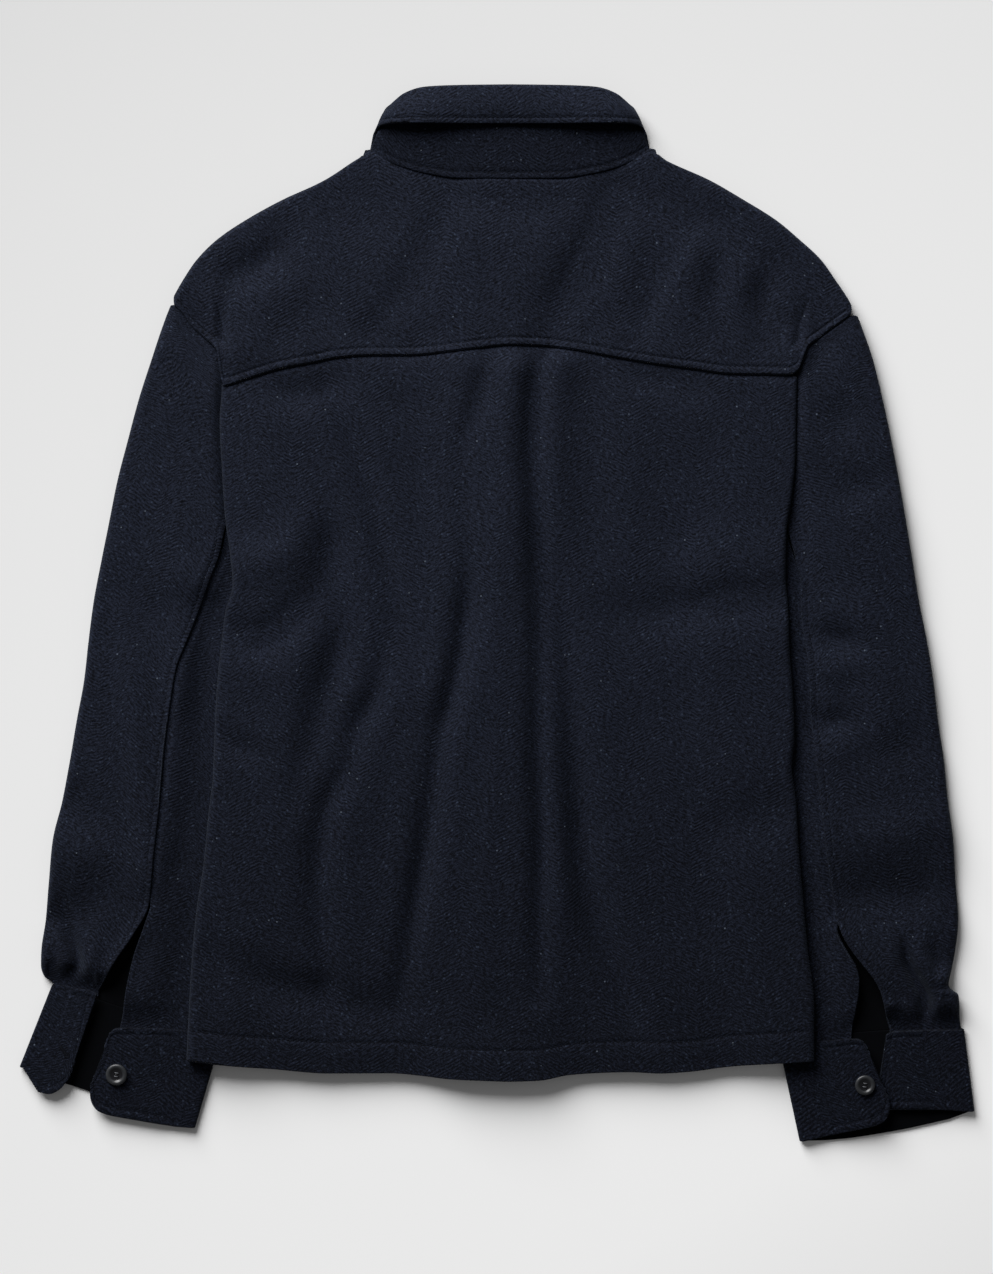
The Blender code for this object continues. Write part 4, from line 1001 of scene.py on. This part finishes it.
def sleeveUnderGrid(side, cuff):
    sign = side["sign"]
    button = [row[:2] for row in cuff["buttonRun"][2:]] + [cuff["innerTurn"][:2]]
    under = [cuff["innerTurn"][:2]] + [row[:2] for row in cuff["underRun"]]
    radius = (levels["sleeve"] - levels["floor"]) / 2.0
    slitTop = max(row[0] for row in side["slitEdge"])

    def backEdge(y):
        lap = 3.4 * ease((y - slitTop + 2.0) / 12.0) * ease((60.0 - y) / 50.0)
        lap = lap * shownSleeve(side, curve(side["topEdge"], y), y)
        edge = np.where(y > slitTop, curve(side["topEdge"], y), curve(side["slitEdge"], y))
        return edge + sign * (0.7 - lap)

    def turnCentre(y):
        return curve(side["inner"], y) - sign * (radius + levels["wall"] / 2)

    shares = rowShares(10.0, 3.0, 3.6, 440.0)
    start = np.full(len(shares), -315.0)
    columns = []
    parts = np.concatenate([np.arange(0.0, 9.0, 0.9) / 60.0, np.linspace(0.15, 1.0, 20)])
    for part in parts:
        top = underarmY - 1.5 + (130.0 - underarmY) * (1.0 - part)

        def acrossTop(y):
            held = np.minimum(y, underarmY)
            return backEdge(y) + part * (turnCentre(held) - backEdge(held))

        x, y, end = settled(button, underCuff["top"], acrossTop, start, shares, top)
        z = intoCuff(sleeveLevel(side, x, y), y, end)
        fromEdge = np.abs(x - backEdge(y))
        sunk = ease((y - slitTop) / 14.0) * shownSleeve(side, x, y)
        z = z - 1.15 * sunk * (1.0 - ease((fromEdge - 3.5) / 4.5))
        roll = ease((part - 0.8) / 0.2)
        z = np.maximum(z * (1.0 - roll) + levels["sleeve"] * roll, 2.9)
        columns.append(joined(x, y, z))
    last = columns[-1]
    columns += halfTurn(last[:, 0], last[:, 1], last[:, 2], levels["floor"], sign, 11)
    for part in evenly(12):
        top = underarmY - 4.0 + (125.0 - underarmY) * part

        def acrossUnder(y):
            held = np.minimum(y, underarmY)
            width = turnCentre(held) - frontSeam(side, held)
            return frontSeam(side, y) + sign * 1.0 + (1.0 - part) * width

        x, y, end = settled(under, underCuff["under"], acrossUnder, start, shares, top)
        columns.append(joined(x, y, np.full_like(x, levels["floor"])))
    return np.stack(columns, axis=1)


def sleeveGrain(grid, side):  # along the sleeve, so that the columns follow it
    across = lengthsAlong(grid, 1) * side["sign"]
    along = lengthsAlong(grid, 0)
    middle = along[:, :1] * 0.35 + along * 0.65
    return joined(across, middle)


for kind, makeGrid in (("Top", sleeveTopGrid), ("Under", sleeveUnderGrid)):
    for side, cuff in bothSides:
        grid = makeGrid(side, cuff)
        addCloth("sleeve" + side["name"] + kind, grid, sleeveGrain(grid, side),
                 "sleeve_" + side["name"].lower() + "_" + kind.lower(), sleeveWool,
                 flip=(kind == "Top") == (side is leftSide))


# Cuffs: one band each, from the button end round the wrist to the buttonhole end

cuffCut = {
    "wall": 2.3,
    "top": 4.8,         # middle of the upper layer at the turns
    "under": 1.2,       # middle of the layer on the table
    "stitchIn": 6.6,     # edge stitch, from the edge
    "seamIn": 5.0,
}


def cuffGrid(cuff):
    outward = cuff["outward"]
    radius = (cuffCut["top"] - cuffCut["under"]) / 2.0
    middle = (cuffCut["top"] + cuffCut["under"]) / 2.0
    share = np.concatenate([np.linspace(0.0, 0.14, 12)[:-1], np.linspace(0.14, 0.8, 20)[:-1],
                            np.linspace(0.8, 1.0, 15)])

    def station(row):
        seam = np.array([row[0], row[1], row[4]])
        edge = np.array([row[2], row[3], row[4]])
        return [seam + part * (edge - seam) for part in share]

    def turn(row, sign, order):
        made = []
        for angle in np.linspace(0.0, np.pi, 13)[::order]:
            step = sign * (radius * np.sin(angle) - radius)
            rise = middle + radius * np.cos(angle)
            made.append(station((row[0] + step, row[1], row[2] + step, row[3], rise)))
        return made

    def run(rows, count):
        return [station(row) for row in through(rows, evenly(count))]

    button = run(cuff["buttonRun"], 56)
    sections = button + turn(cuff["innerTurn"], -outward, 1)
    sections += run(cuff["underRun"], 24)
    sections += turn(cuff["outerTurn"], outward, -1)
    loop = run(cuff["loopRun"], 34)
    sections += loop
    grid = np.array(sections)
    length = np.linalg.norm(grid[:, -1] - grid[:, 0], axis=1)[:, None]
    down = share[None, :] * length
    fromEdge = length - down
    shown = np.zeros(len(sections))
    shown[:len(button) - 4] = 1.0
    shown[-len(loop) + 4:] = 1.0
    shown = shown[:, None]
    ends = lengthsAlong(grid, 0)
    total = ends[-1][None, :]
    fromEnd = np.minimum(ends, total - ends)
    lift = -0.55 * groove(fromEdge - cuffCut["stitchIn"], 1.2) - 0.5 * groove(down - cuffCut["seamIn"], 1.2)
    lift = lift - 0.45 * groove(fromEnd - cuffCut["seamIn"], 1.2)
    lift = lift + 0.4 * groove(fromEdge - 3.2, 2.0) + 0.35 * groove(down - 2.2, 1.6)
    lift = lift + 0.5 * softNoise(grid[..., 0], grid[..., 1], 24.0, 21) + 0.35
    grid[..., 2] += lift * shown
    return grid


for side, cuff in bothSides:
    grid = cuffGrid(cuff)
    addCloth("cuff" + side["name"], grid, joined(lengthsAlong(grid, 0), lengthsAlong(grid, 1)),
             "cuff_" + side["name"].lower(), cuffShadedWool, wall=cuffCut["wall"], flip=side is rightSide)


# Collar: rows from the centre back round to the centre front, left half, with the right one mirrored

collarCut = {
    "rows": (
        {"neck": (10.2, 329.5, 10.4), "top": (10.2, 366, 7.4), "fold": (10.2, 401, 8.8),
         "edge": (10.2, 371.3, 11.4), "out": 0},
        {"neck": (-27, 329.9, 10.2), "top": (-25, 366, 7.2), "fold": (-27, 400.6, 8.6),
         "edge": (-28, 371, 13.8), "out": 0},
        {"neck": (-54, 333.8, 9.6), "top": (-50, 367, 7.0), "fold": (-54, 399.4, 8.2),
         "edge": (-58, 370.8, 17.2), "out": 0},
        {"neck": (-77, 340.6, 8.6), "top": (-72, 368, 7.0), "fold": (-69, 394.5, 7.4),
         "edge": (-77, 370.6, 15.2), "out": 8},
        {"neck": (-90, 347.2, 7.0), "top": (-83, 369, 6.6), "fold": (-77, 386, 6.8),
         "edge": (-87.5, 369.8, 10.8), "out": 35},
        {"neck": (-95.4, 350.6, 5.2), "top": (-88.4, 369.4, 5.2), "fold": (-80, 382, 5.2),
         "edge": (-92.8, 364.2, 5.2), "out": 90},
        {"neck": (-92.5, 346, 3.9), "top": (-83, 366, 3.8), "fold": (-77, 376, 3.8),
         "edge": (-97.2, 350.5, 1.1), "out": 145},
        {"neck": (-92.5, 335, 3.7), "top": (-72, 352, 3.7), "fold": (-65, 359, 3.7),
         "edge": (-121, 320, 0.95), "out": 180},
        {"neck": (-80.8, 314.3, 3.7), "top": (-58, 334, 3.7), "fold": (-52, 340, 3.7),
         "edge": (-104, 290, 0.95), "out": 180},
        {"neck": (-56.5, 293, 3.7), "top": (-38, 320, 3.7), "fold": (-33, 326, 3.7),
         "edge": (-75, 266, 0.95), "out": 180},
        {"neck": (-26.5, 281, 3.7), "top": (-16, 313, 3.7), "fold": (-13, 319, 3.7),
         "edge": (-54, 242, 0.95), "out": 180},
        {"neck": (6, 277.6, 3.7), "top": (7, 310, 3.7), "fold": (7, 316, 3.7),
         "edge": (-42, 228, 0.95), "out": 180},
    ),
    "sections": 105,
    "stitchIn": 4.6,
    "neckIn": 5.0,
}


def collarSections():
    rows = []
    for row in collarCut["rows"]:
        rows.append(row["neck"] + row["top"] + row["fold"] + row["edge"] + (row["out"],))
    return through(rows, np.linspace(0.0, 1.0, collarCut["sections"]))


def mirrored(half):
    other = half[1:][::-1].copy()
    other[..., 0] = 2 * neckX - other[..., 0]
    return np.concatenate([other, half])


def standGrid():
    share = np.concatenate([np.linspace(0.0, 0.25, 12)[:-1], np.linspace(0.25, 1.0, 14)])
    half = []
    for row in collarSections():
        neck = row[0:3]
        back = float(ease((110.0 - row[12]) / 60.0))
        upward = unit(row[3:6] - neck)
        top = row[3:6] + upward * (9.0 * back - 2.0 * (1.0 - back))
        top[2] += 0.9 * back
        section = []
        for part in share:
            point = neck + part * (top - neck)
            down = part * np.linalg.norm(top - neck)
            seam = 0.35 * groove(down - 1.6, 1.4) - 0.80 * groove(down - collarCut["neckIn"], 1.2)
            point[2] += back * seam
            section.append(point)
        half.append(section)
    return mirrored(np.array(half))


def leafGrid():
    half = []
    for row in collarSections():
        top = row[3:6]
        fold = row[6:9]
        edge = row[9:12]
        angle = math.radians(row[12])
        out = unit(np.array([-math.sin(angle), 0.35 * math.sin(angle), math.cos(angle)]))
        run = unit(fold - top)
        back = float(ease((100.0 - row[12]) / 90.0))
        radius = 1.4 + 1.5 * back
        start = top + run * (0.6 + 3.0 * back)
        start[2] -= 1.5 * back
        end = fold - run * (radius + levels["wall"] / 2)
        section = [start + part * (end - start) for part in evenly(8)]
        for turn in np.linspace(0.0, np.pi, 12)[1:]:
            section.append(end + run * radius * np.sin(turn) + out * radius * (1.0 - np.cos(turn)))
        last = section[-1]
        length = np.linalg.norm(edge - last)
        for part in evenly(30)[1:]:
            point = last + part * (edge - last)
            fromEdge = length * (1.0 - part)
            lift = 1.6 * np.sin(np.pi * part) - 0.6 * groove(fromEdge - collarCut["stitchIn"], 1.2)
            lift = lift + 0.3 * groove(fromEdge - 2.2, 1.6)
            section.append(point + out * back * lift)
        half.append(section)
    return mirrored(np.array(half))


def collarGrain(grid):
    along = lengthsAlong(grid, 0)
    middle = along[:, along.shape[1] // 2][:, None] * np.ones(grid.shape[:2])
    return joined(middle, lengthsAlong(grid, 1))


for name, makeGrid, node, finish in (("collarStand", standGrid, "collar_stand", standShadedWool),
                                     ("collarLeaf", leafGrid, "collar", collarLitWool)):
    grid = makeGrid()
    addCloth(name, grid, collarGrain(grid), node, finish, doubled=True)


# Fronts, face down on the table

frontCut = {"rows": 110, "columns": 62, "edge": 17.0}


def byLength(points, at):
    steps = np.hypot(*np.diff(points, axis=0).T)
    places = np.concatenate([[0.0], np.cumsum(steps)]) / steps.sum()
    return np.stack([np.interp(at, places, points[:, k]) for k in (0, 1)], axis=-1)


def frontGrid(side):
    sign = side["sign"]
    y = np.linspace(-340.0, underarmY - 0.5, 40)
    lower = joined(tuckEnd(side, y) + sign * 1.0, y)
    y = np.linspace(underarmY + 1.0, side["frontTop"], 40)
    upper = joined(curve(side["armhole"], y) + sign * 0.5, y)
    outer = np.concatenate([lower, upper])
    neck = [(x if side is leftSide else 2 * neckX - x, y) for x, y in frontNeck]
    edgeX = float(centreFront(-350.0)) + sign * frontCut["edge"]
    fine = through(neck, evenly(30))
    fine[0] = (float(centreFront(275.0)) + sign * frontCut["edge"], 275.8)
    inner = np.concatenate([[(edgeX, float(curve(hemLine, edgeX)))], fine])
    x = np.linspace(outer[-1][0], inner[-1][0], 40)
    yoke = joined(x, np.minimum(yokeFrontEdge(x) - 2.4, inner[-1][1]))
    yoke[0] = outer[-1]
    yoke[-1] = inner[-1]
    x = np.linspace(outer[0][0], edgeX, 40)
    hem = joined(x, curve(hemLine, x))
    outer[0] = hem[0]
    across = np.linspace(0.0, 1.0, frontCut["columns"])
    up = np.linspace(0.0, 1.0, frontCut["rows"])
    bottom = byLength(hem, across)[None, :, :]
    top = byLength(yoke, across)[None, :, :]
    left = byLength(outer, up)[:, None, :]
    right = byLength(inner, up)[:, None, :]
    s = up[:, None, None]
    p = across[None, :, None]
    plan = ((1 - s) * bottom + s * top + (1 - p) * left + p * right
            - (1 - s) * (1 - p) * bottom[:, :1] - (1 - s) * p * bottom[:, -1:]
            - s * (1 - p) * top[:, :1] - s * p * top[:, -1:])
    level = frontLevel if side is leftSide else rightFrontLevel
    z = level(plan[..., 0], plan[..., 1])
    return np.concatenate([plan, z[..., None]], axis=2)


for side in (leftSide, rightSide):
    grid = frontGrid(side)
    addCloth("front" + side["name"], grid, grid[..., :2], "front_" + side["name"].lower(), frontWool,
             flip=side is rightSide, faceDown=True)


# Buttons: turned, with a raised rim, a dished middle and four sewn holes

buttonCut = {
    "profile": ((0.0, 0.0), (0.70, 0.0), (0.86, 0.06), (0.95, 0.22), (1.0, 0.45), (1.0, 0.62),
                (0.97, 0.80), (0.92, 0.92), (0.84, 0.99), (0.76, 1.0), (0.69, 0.95), (0.64, 0.86),
                (0.58, 0.70), (0.46, 0.58), (0.30, 0.54), (0.0, 0.53)),
    "rim": 0.60,      # the paler rim starts at this part of the radius
    "sides": 64,
    "hole": 0.85,
    "spacing": 1.9,
    "twist": 0.6,
    "dish": 0.54,     # height of the dished middle, of the whole
}


def meshFrom(name, work):
    mesh = bpy.data.meshes.new(name)
    bmesh.ops.recalc_face_normals(work, faces=work.faces)
    work.to_mesh(mesh)
    work.free()
    return mesh


def holesOf(centre):  # the four sewn holes in the plan
    angles = [buttonCut["twist"] + number * math.pi / 2 for number in range(4)]
    return [(centre[0] + buttonCut["spacing"] * math.cos(angle),
             centre[1] + buttonCut["spacing"] * math.sin(angle)) for angle in angles]


def addButton(name, node, centre, bottom, radius, height, faceDown=False):
    work = bmesh.new()
    rings = []
    for part, rise in buttonCut["profile"]:
        z = bottom + (height * (1.0 - rise) if faceDown else height * rise)
        count = buttonCut["sides"] if part else 1
        ring = []
        for k in range(count):
            angle = 2 * math.pi * k / count
            ring.append(work.verts.new(placed(centre[0] + radius * part * math.cos(angle),
                                              centre[1] + radius * part * math.sin(angle), z)))
        rings.append(ring)
    for low, high in zip(rings[:-1], rings[1:]):
        count = max(len(low), len(high))
        for k in range(count):
            after = (k + 1) % count
            if len(low) == 1:
                work.faces.new((low[0], high[after], high[k]))
            elif len(high) == 1:
                work.faces.new((low[k], low[after], high[0]))
            else:
                work.faces.new((low[k], low[after], high[after], high[k]))
    mesh = meshFrom(name, work)
    mesh.materials.append(hornPaint)
    mesh.materials.append(rimPaint)
    for polygon in mesh.polygons:
        away = (polygon.center - placed(*centre, 0.0)).xy.length / mm
        polygon.material_index = 1 if away > radius * buttonCut["rim"] else 0
    piece = addObject(name, mesh)
    cutters = []
    for number, (x, y) in enumerate(holesOf(centre)):
        bpy.ops.mesh.primitive_cylinder_add(vertices=20, radius=buttonCut["hole"] * mm,
                                            depth=4 * height * mm, location=placed(x, y, bottom))
        cutter = bpy.context.object
        cut = piece.modifiers.new("hole" + str(number + 1), "BOOLEAN")
        cut.operation = "DIFFERENCE"
        cut.solver = "EXACT"
        cut.object = cutter
        cutters.append(cutter)
    bpy.context.view_layer.update()
    finished = bpy.data.meshes.new_from_object(piece.evaluated_get(bpy.context.evaluated_depsgraph_get()))
    piece.modifiers.clear()
    piece.data = finished
    for cutter in cutters:
        bpy.data.objects.remove(cutter, do_unlink=True)
    for polygon in finished.polygons:
        polygon.use_smooth = len(polygon.vertices) <= 4
    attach(piece, "root")
    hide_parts(node)


def castDown(tree, x, y):  # the top of the cloth at a place in the plan
    return tree.ray_cast(placed(x, y, 100.0), Vector((0, 0, -1)))[0]


def treeOf(name):
    mesh = cloths[name].data
    return BVHTree.FromPolygons([v.co for v in mesh.vertices], [tuple(p.vertices) for p in mesh.polygons])


def addTube(work, points, radius, sides):  # a short closed tube through points, for thread
    rings = []
    count = len(points)
    for k, point in enumerate(points):
        ahead = points[min(k + 1, count - 1)] - points[max(k - 1, 0)]
        ahead = ahead.normalized()
        aside = ahead.cross(Vector((0.13, 0.21, 0.97))).normalized()
        other = ahead.cross(aside)
        size = radius * (0.55 if k in (0, count - 1) else 1.0)
        ring = []
        for j in range(sides):
            angle = 2 * math.pi * j / sides
            ring.append(work.verts.new(point + size * (aside * math.cos(angle) + other * math.sin(angle))))
        rings.append(ring)
    for low, high in zip(rings[:-1], rings[1:]):
        for j in range(sides):
            after = (j + 1) % sides
            work.faces.new((low[j], low[after], high[after], high[j]))
    work.faces.new(rings[0][::-1])
    work.faces.new(rings[-1])


def addThread(name, runs, radius, sides, paint=threadPaint):
    work = bmesh.new()
    for run in runs:
        addTube(work, run, radius * mm, sides)
    mesh = meshFrom(name, work)
    mesh.shade_smooth()
    mesh.materials.append(paint)
    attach(addObject(name, mesh), "root")


sewCut = {"radius": 0.42, "rise": 0.55, "drop": 1.3}


def sewButton(name, centre, surface):
    holes = [placed(x, y, surface) for x, y in holesOf(centre)]
    rise = Vector((0, 0, sewCut["rise"] * mm))
    drop = Vector((0, 0, -sewCut["drop"] * mm))
    runs = []
    for a, b in (holes[:2], holes[2:]):
        runs.append([a + drop, a + drop * 0.2, a + (b - a) * 0.2 + rise * 0.8, a + (b - a) * 0.5 + rise,
                     a + (b - a) * 0.8 + rise * 0.8, b + drop * 0.2, b + drop])
    addThread(name, runs, sewCut["radius"], 8, sewPaint)


cuffButton = {"radii": (8.15, 7.6), "height": 3.0, "seat": 5.5, "gap": 0.1}
for (side, cuff), radius in zip(bothSides, cuffButton["radii"]):
    name = "cuffButton" + side["name"]
    centre = cuff["button"]
    tree = treeOf("cuff" + side["name"])
    spots = [castDown(tree, centre[0] + cuffButton["seat"] * math.cos(a),
                      centre[1] + cuffButton["seat"] * math.sin(a))
             for a in np.linspace(0, 2 * math.pi, 9)[:-1]]
    bottom = max(spot.z for spot in spots if spot) / mm + cuffButton["gap"]
    addButton(name, "cuff_button_" + side["name"].lower(), centre, bottom, radius, cuffButton["height"])
    sewButton(name + "Thread", centre, bottom + cuffButton["height"] * buttonCut["dish"])

frontButton = {"top": 250.0, "step": 104.0, "radius": 10.0, "height": 2.4}
for number in range(6):
    y = frontButton["top"] - frontButton["step"] * number
    order = str(number + 1)
    addButton("frontButton" + order, "front_button_" + order, (float(centreFront(y)), y), 0.0,
              frontButton["radius"], frontButton["height"], True)
print("buttons turned")


# Buttonhole on the left cuff's tab: an eye and a short slit, whipped round with thread

holeCut = {"eye": 1.5, "slit": 9.0, "towards": (-0.60, 0.80), "whip": 1.3, "radius": 0.26, "core": 0.42}


def addButtonhole(name, cloth, eye):
    tree = treeOf(cloth)
    along = np.array(holeCut["towards"])
    aside = np.array((-along[1], along[0]))
    places = []       # (inner end, outer end) of each stitch in the plan
    for angle in np.linspace(0.75, 2 * math.pi - 0.75, 11):
        out = along * math.cos(angle) + aside * math.sin(angle)
        places.append((out * holeCut["eye"] * 0.55, out * (holeCut["eye"] + holeCut["whip"] * 0.7)))
    for far in np.arange(1.9, holeCut["slit"], 0.62):
        for way in (-1.0, 1.0):
            places.append((along * far + aside * way * 0.25, along * far + aside * way * holeCut["whip"]))
    runs = []
    for inner, outer in places:
        run = []
        for part, rise in ((0.0, -0.30), (0.2, 0.10), (0.6, 0.20), (0.9, 0.10), (1.0, -0.30)):
            spot = inner + (outer - inner) * part
            found = castDown(tree, eye[0] + spot[0], eye[1] + spot[1])
            if found:
                run.append(found + Vector((0, 0, rise * mm)))
        if len(run) == 5:
            runs.append(run)
    addThread(name, runs, holeCut["radius"], 6)
    core = []
    for far in np.linspace(-holeCut["eye"] * 0.5, holeCut["slit"] - 0.4, 14):
        found = castDown(tree, eye[0] + along[0] * far, eye[1] + along[1] * far)
        core.append(found + Vector((0, 0, -0.12 * mm)))
    addThread(name + "Slit", [core], holeCut["core"], 8)


addButtonhole("buttonhole", "cuffLeft", leftCuffCut["hole"])


# Topstitching, laid in the grooves by casting onto the cloth

stitchCut = {"length": 2.5, "step": 3.4, "radius": 0.30, "proud": 0.06, "sunk": 0.35, "fromSeam": 4.8}


def stitchRow(name, cloth, line):
    tree = treeOf(cloth)
    line = np.asarray(line, float)
    steps = np.hypot(*np.diff(line, axis=0).T)
    places = np.concatenate([[0.0], np.cumsum(steps)])
    runs = []
    at = 0.5
    while at + stitchCut["length"] < places[-1]:
        run = []
        for part in (0.0, 0.18, 0.5, 0.82, 1.0):
            here = at + part * stitchCut["length"]
            found = castDown(tree, np.interp(here, places, line[:, 0]), np.interp(here, places, line[:, 1]))
            if not found:
                run = []
                break
            sink = -stitchCut["sunk"] if part in (0.0, 1.0) else stitchCut["proud"]
            run.append(found + Vector((0, 0, sink * mm)))
        if run and max(p.z for p in run) - min(p.z for p in run) < 2.0 * mm:
            runs.append(run)
        at += stitchCut["step"]
    addThread(name, runs, stitchCut["radius"], 6)


def yokeStitch(name, start, end, count):
    x = np.linspace(start, end, count)
    stitchRow(name, "backYoke", joined(x, yokeLowerEdge(x) + yokeCut["gap"] + yokeCut["ridge"]))


yokeStitch("yokeTopstitch", -204.0, 224.0, 300)
x = np.linspace(-231.0, 238.0, 300)
stitchRow("hemStitch", "backPanel", joined(x, curve(hemLine, x) + backCut["hemWidth"]))
yokeStitch("armholeStitchLeft", -243.0, -213.0, 40)
yokeStitch("armholeStitchRight", 234.0, 266.0, 40)
for side, high in ((leftSide, 58.0), (rightSide, 20.0)):
    y = np.linspace(sleeveEnd, high, 300)
    stitchRow("sleeveStitch" + side["name"], "sleeve" + side["name"] + "Top",
              joined(curve(side["topEdge"], y) - side["sign"] * stitchCut["fromSeam"], y))

for side, cuff in bothSides:
    name = "cuff" + side["name"]
    for kind, rows, parts in (("EdgeStitch", cuff["buttonRun"], np.linspace(0.03, 1.0, 80)),
                              ("TabStitch", cuff["loopRun"], np.linspace(0.0, 0.97, 60))):
        line = [row[2:4] + unit(row[:2] - row[2:4]) * cuffCut["stitchIn"] for row in through(rows, parts)]
        stitchRow(name + kind, name, line)


def bothHalves(half):  # the left half of a line round the collar, with its mirror image
    return half[::-1] + [(2 * neckX - x, y) for x, y in half[1:]]


backRows = [row for row in collarSections() if row[12] < 30]
half = [row[:2] + unit(row[3:5] - row[:2]) * collarCut["neckIn"] for row in backRows]
stitchRow("neckStitch", "collarStand", bothHalves(half))
half = [(row[9], row[10] + collarCut["stitchIn"]) for row in backRows]
stitchRow("collarEdgeStitch", "collarLeaf", bothHalves(half))
print("topstitching sewn")


# Table, light and camera

studio = {
    "floorMiddle": 0.764,
    "floorSlope": 0.500,    # a metre, darker paint towards the light, so that the floor is even
    "floorEnd": 0.65,       # the slope stops this far towards the light
    "floorHalf": 4,
    "world": 0.14,
    "key": 230.0,
    "keyFrom": (-1.42, 2.48, 1.67),
    "keySize": 2.6,
    "height": 2.2916,
    "centre": (-0.0004, -0.0175),
    "lens": 85.0,
}

half = studio["floorHalf"]
floorMesh = bpy.data.meshes.new("tableTop")
corners = [(-half, -half, 0), (half, -half, 0), (half, half, 0), (-half, half, 0)]
floorMesh.from_pydata(corners, [], [(0, 1, 2, 3)])
tablePaint = Paint("tablePaint")
lightWay = Vector((studio["keyFrom"][0], studio["keyFrom"][1], 0)).normalized()
towards = tablePaint.node("ShaderNodeVectorMath", {"operation": "DOT_PRODUCT"},
                          {0: tablePaint.place(), 1: tuple(lightWay)}, "Value")
towards = tablePaint.math("MINIMUM", towards, studio["floorEnd"])
share = tablePaint.held(studio["floorMiddle"] - towards * studio["floorSlope"])
floorMesh.materials.append(tablePaint.surface({
    "Base Color": tablePaint.mix(share, rgb(0, 0, 0), rgb(1.0, 1.0, 1.0)),
    "Roughness": 0.8,
    "Specular IOR Level": 0.1,
}))
addObject("tableTop", floorMesh)

world = bpy.data.worlds.new("studio")
world.use_nodes = True
world.node_tree.nodes["Background"].inputs["Color"].default_value = rgb(1.0, 1.0, 1.0)
world.node_tree.nodes["Background"].inputs["Strength"].default_value = studio["world"]
bpy.context.scene.world = world

lamp = bpy.data.lights.new("keyLight", "AREA")
lamp.shape = "DISK"
lamp.size = studio["keySize"]
lamp.energy = studio["key"]
keyLight = addObject("keyLight", lamp)
keyLight.location = studio["keyFrom"]
keyLight.rotation_euler = (-Vector(studio["keyFrom"])).to_track_quat("-Z", "Y").to_euler()

camera = bpy.data.cameras.new("camera")
camera.lens = studio["lens"]
camera.sensor_width = 36.0
camera.clip_end = 20.0
cameraObject = addObject("camera", camera)
cameraObject.location = (studio["centre"][0], studio["centre"][1], studio["height"])
bpy.context.scene.camera = cameraObject
bpy.context.scene.view_settings.view_transform = "Standard"
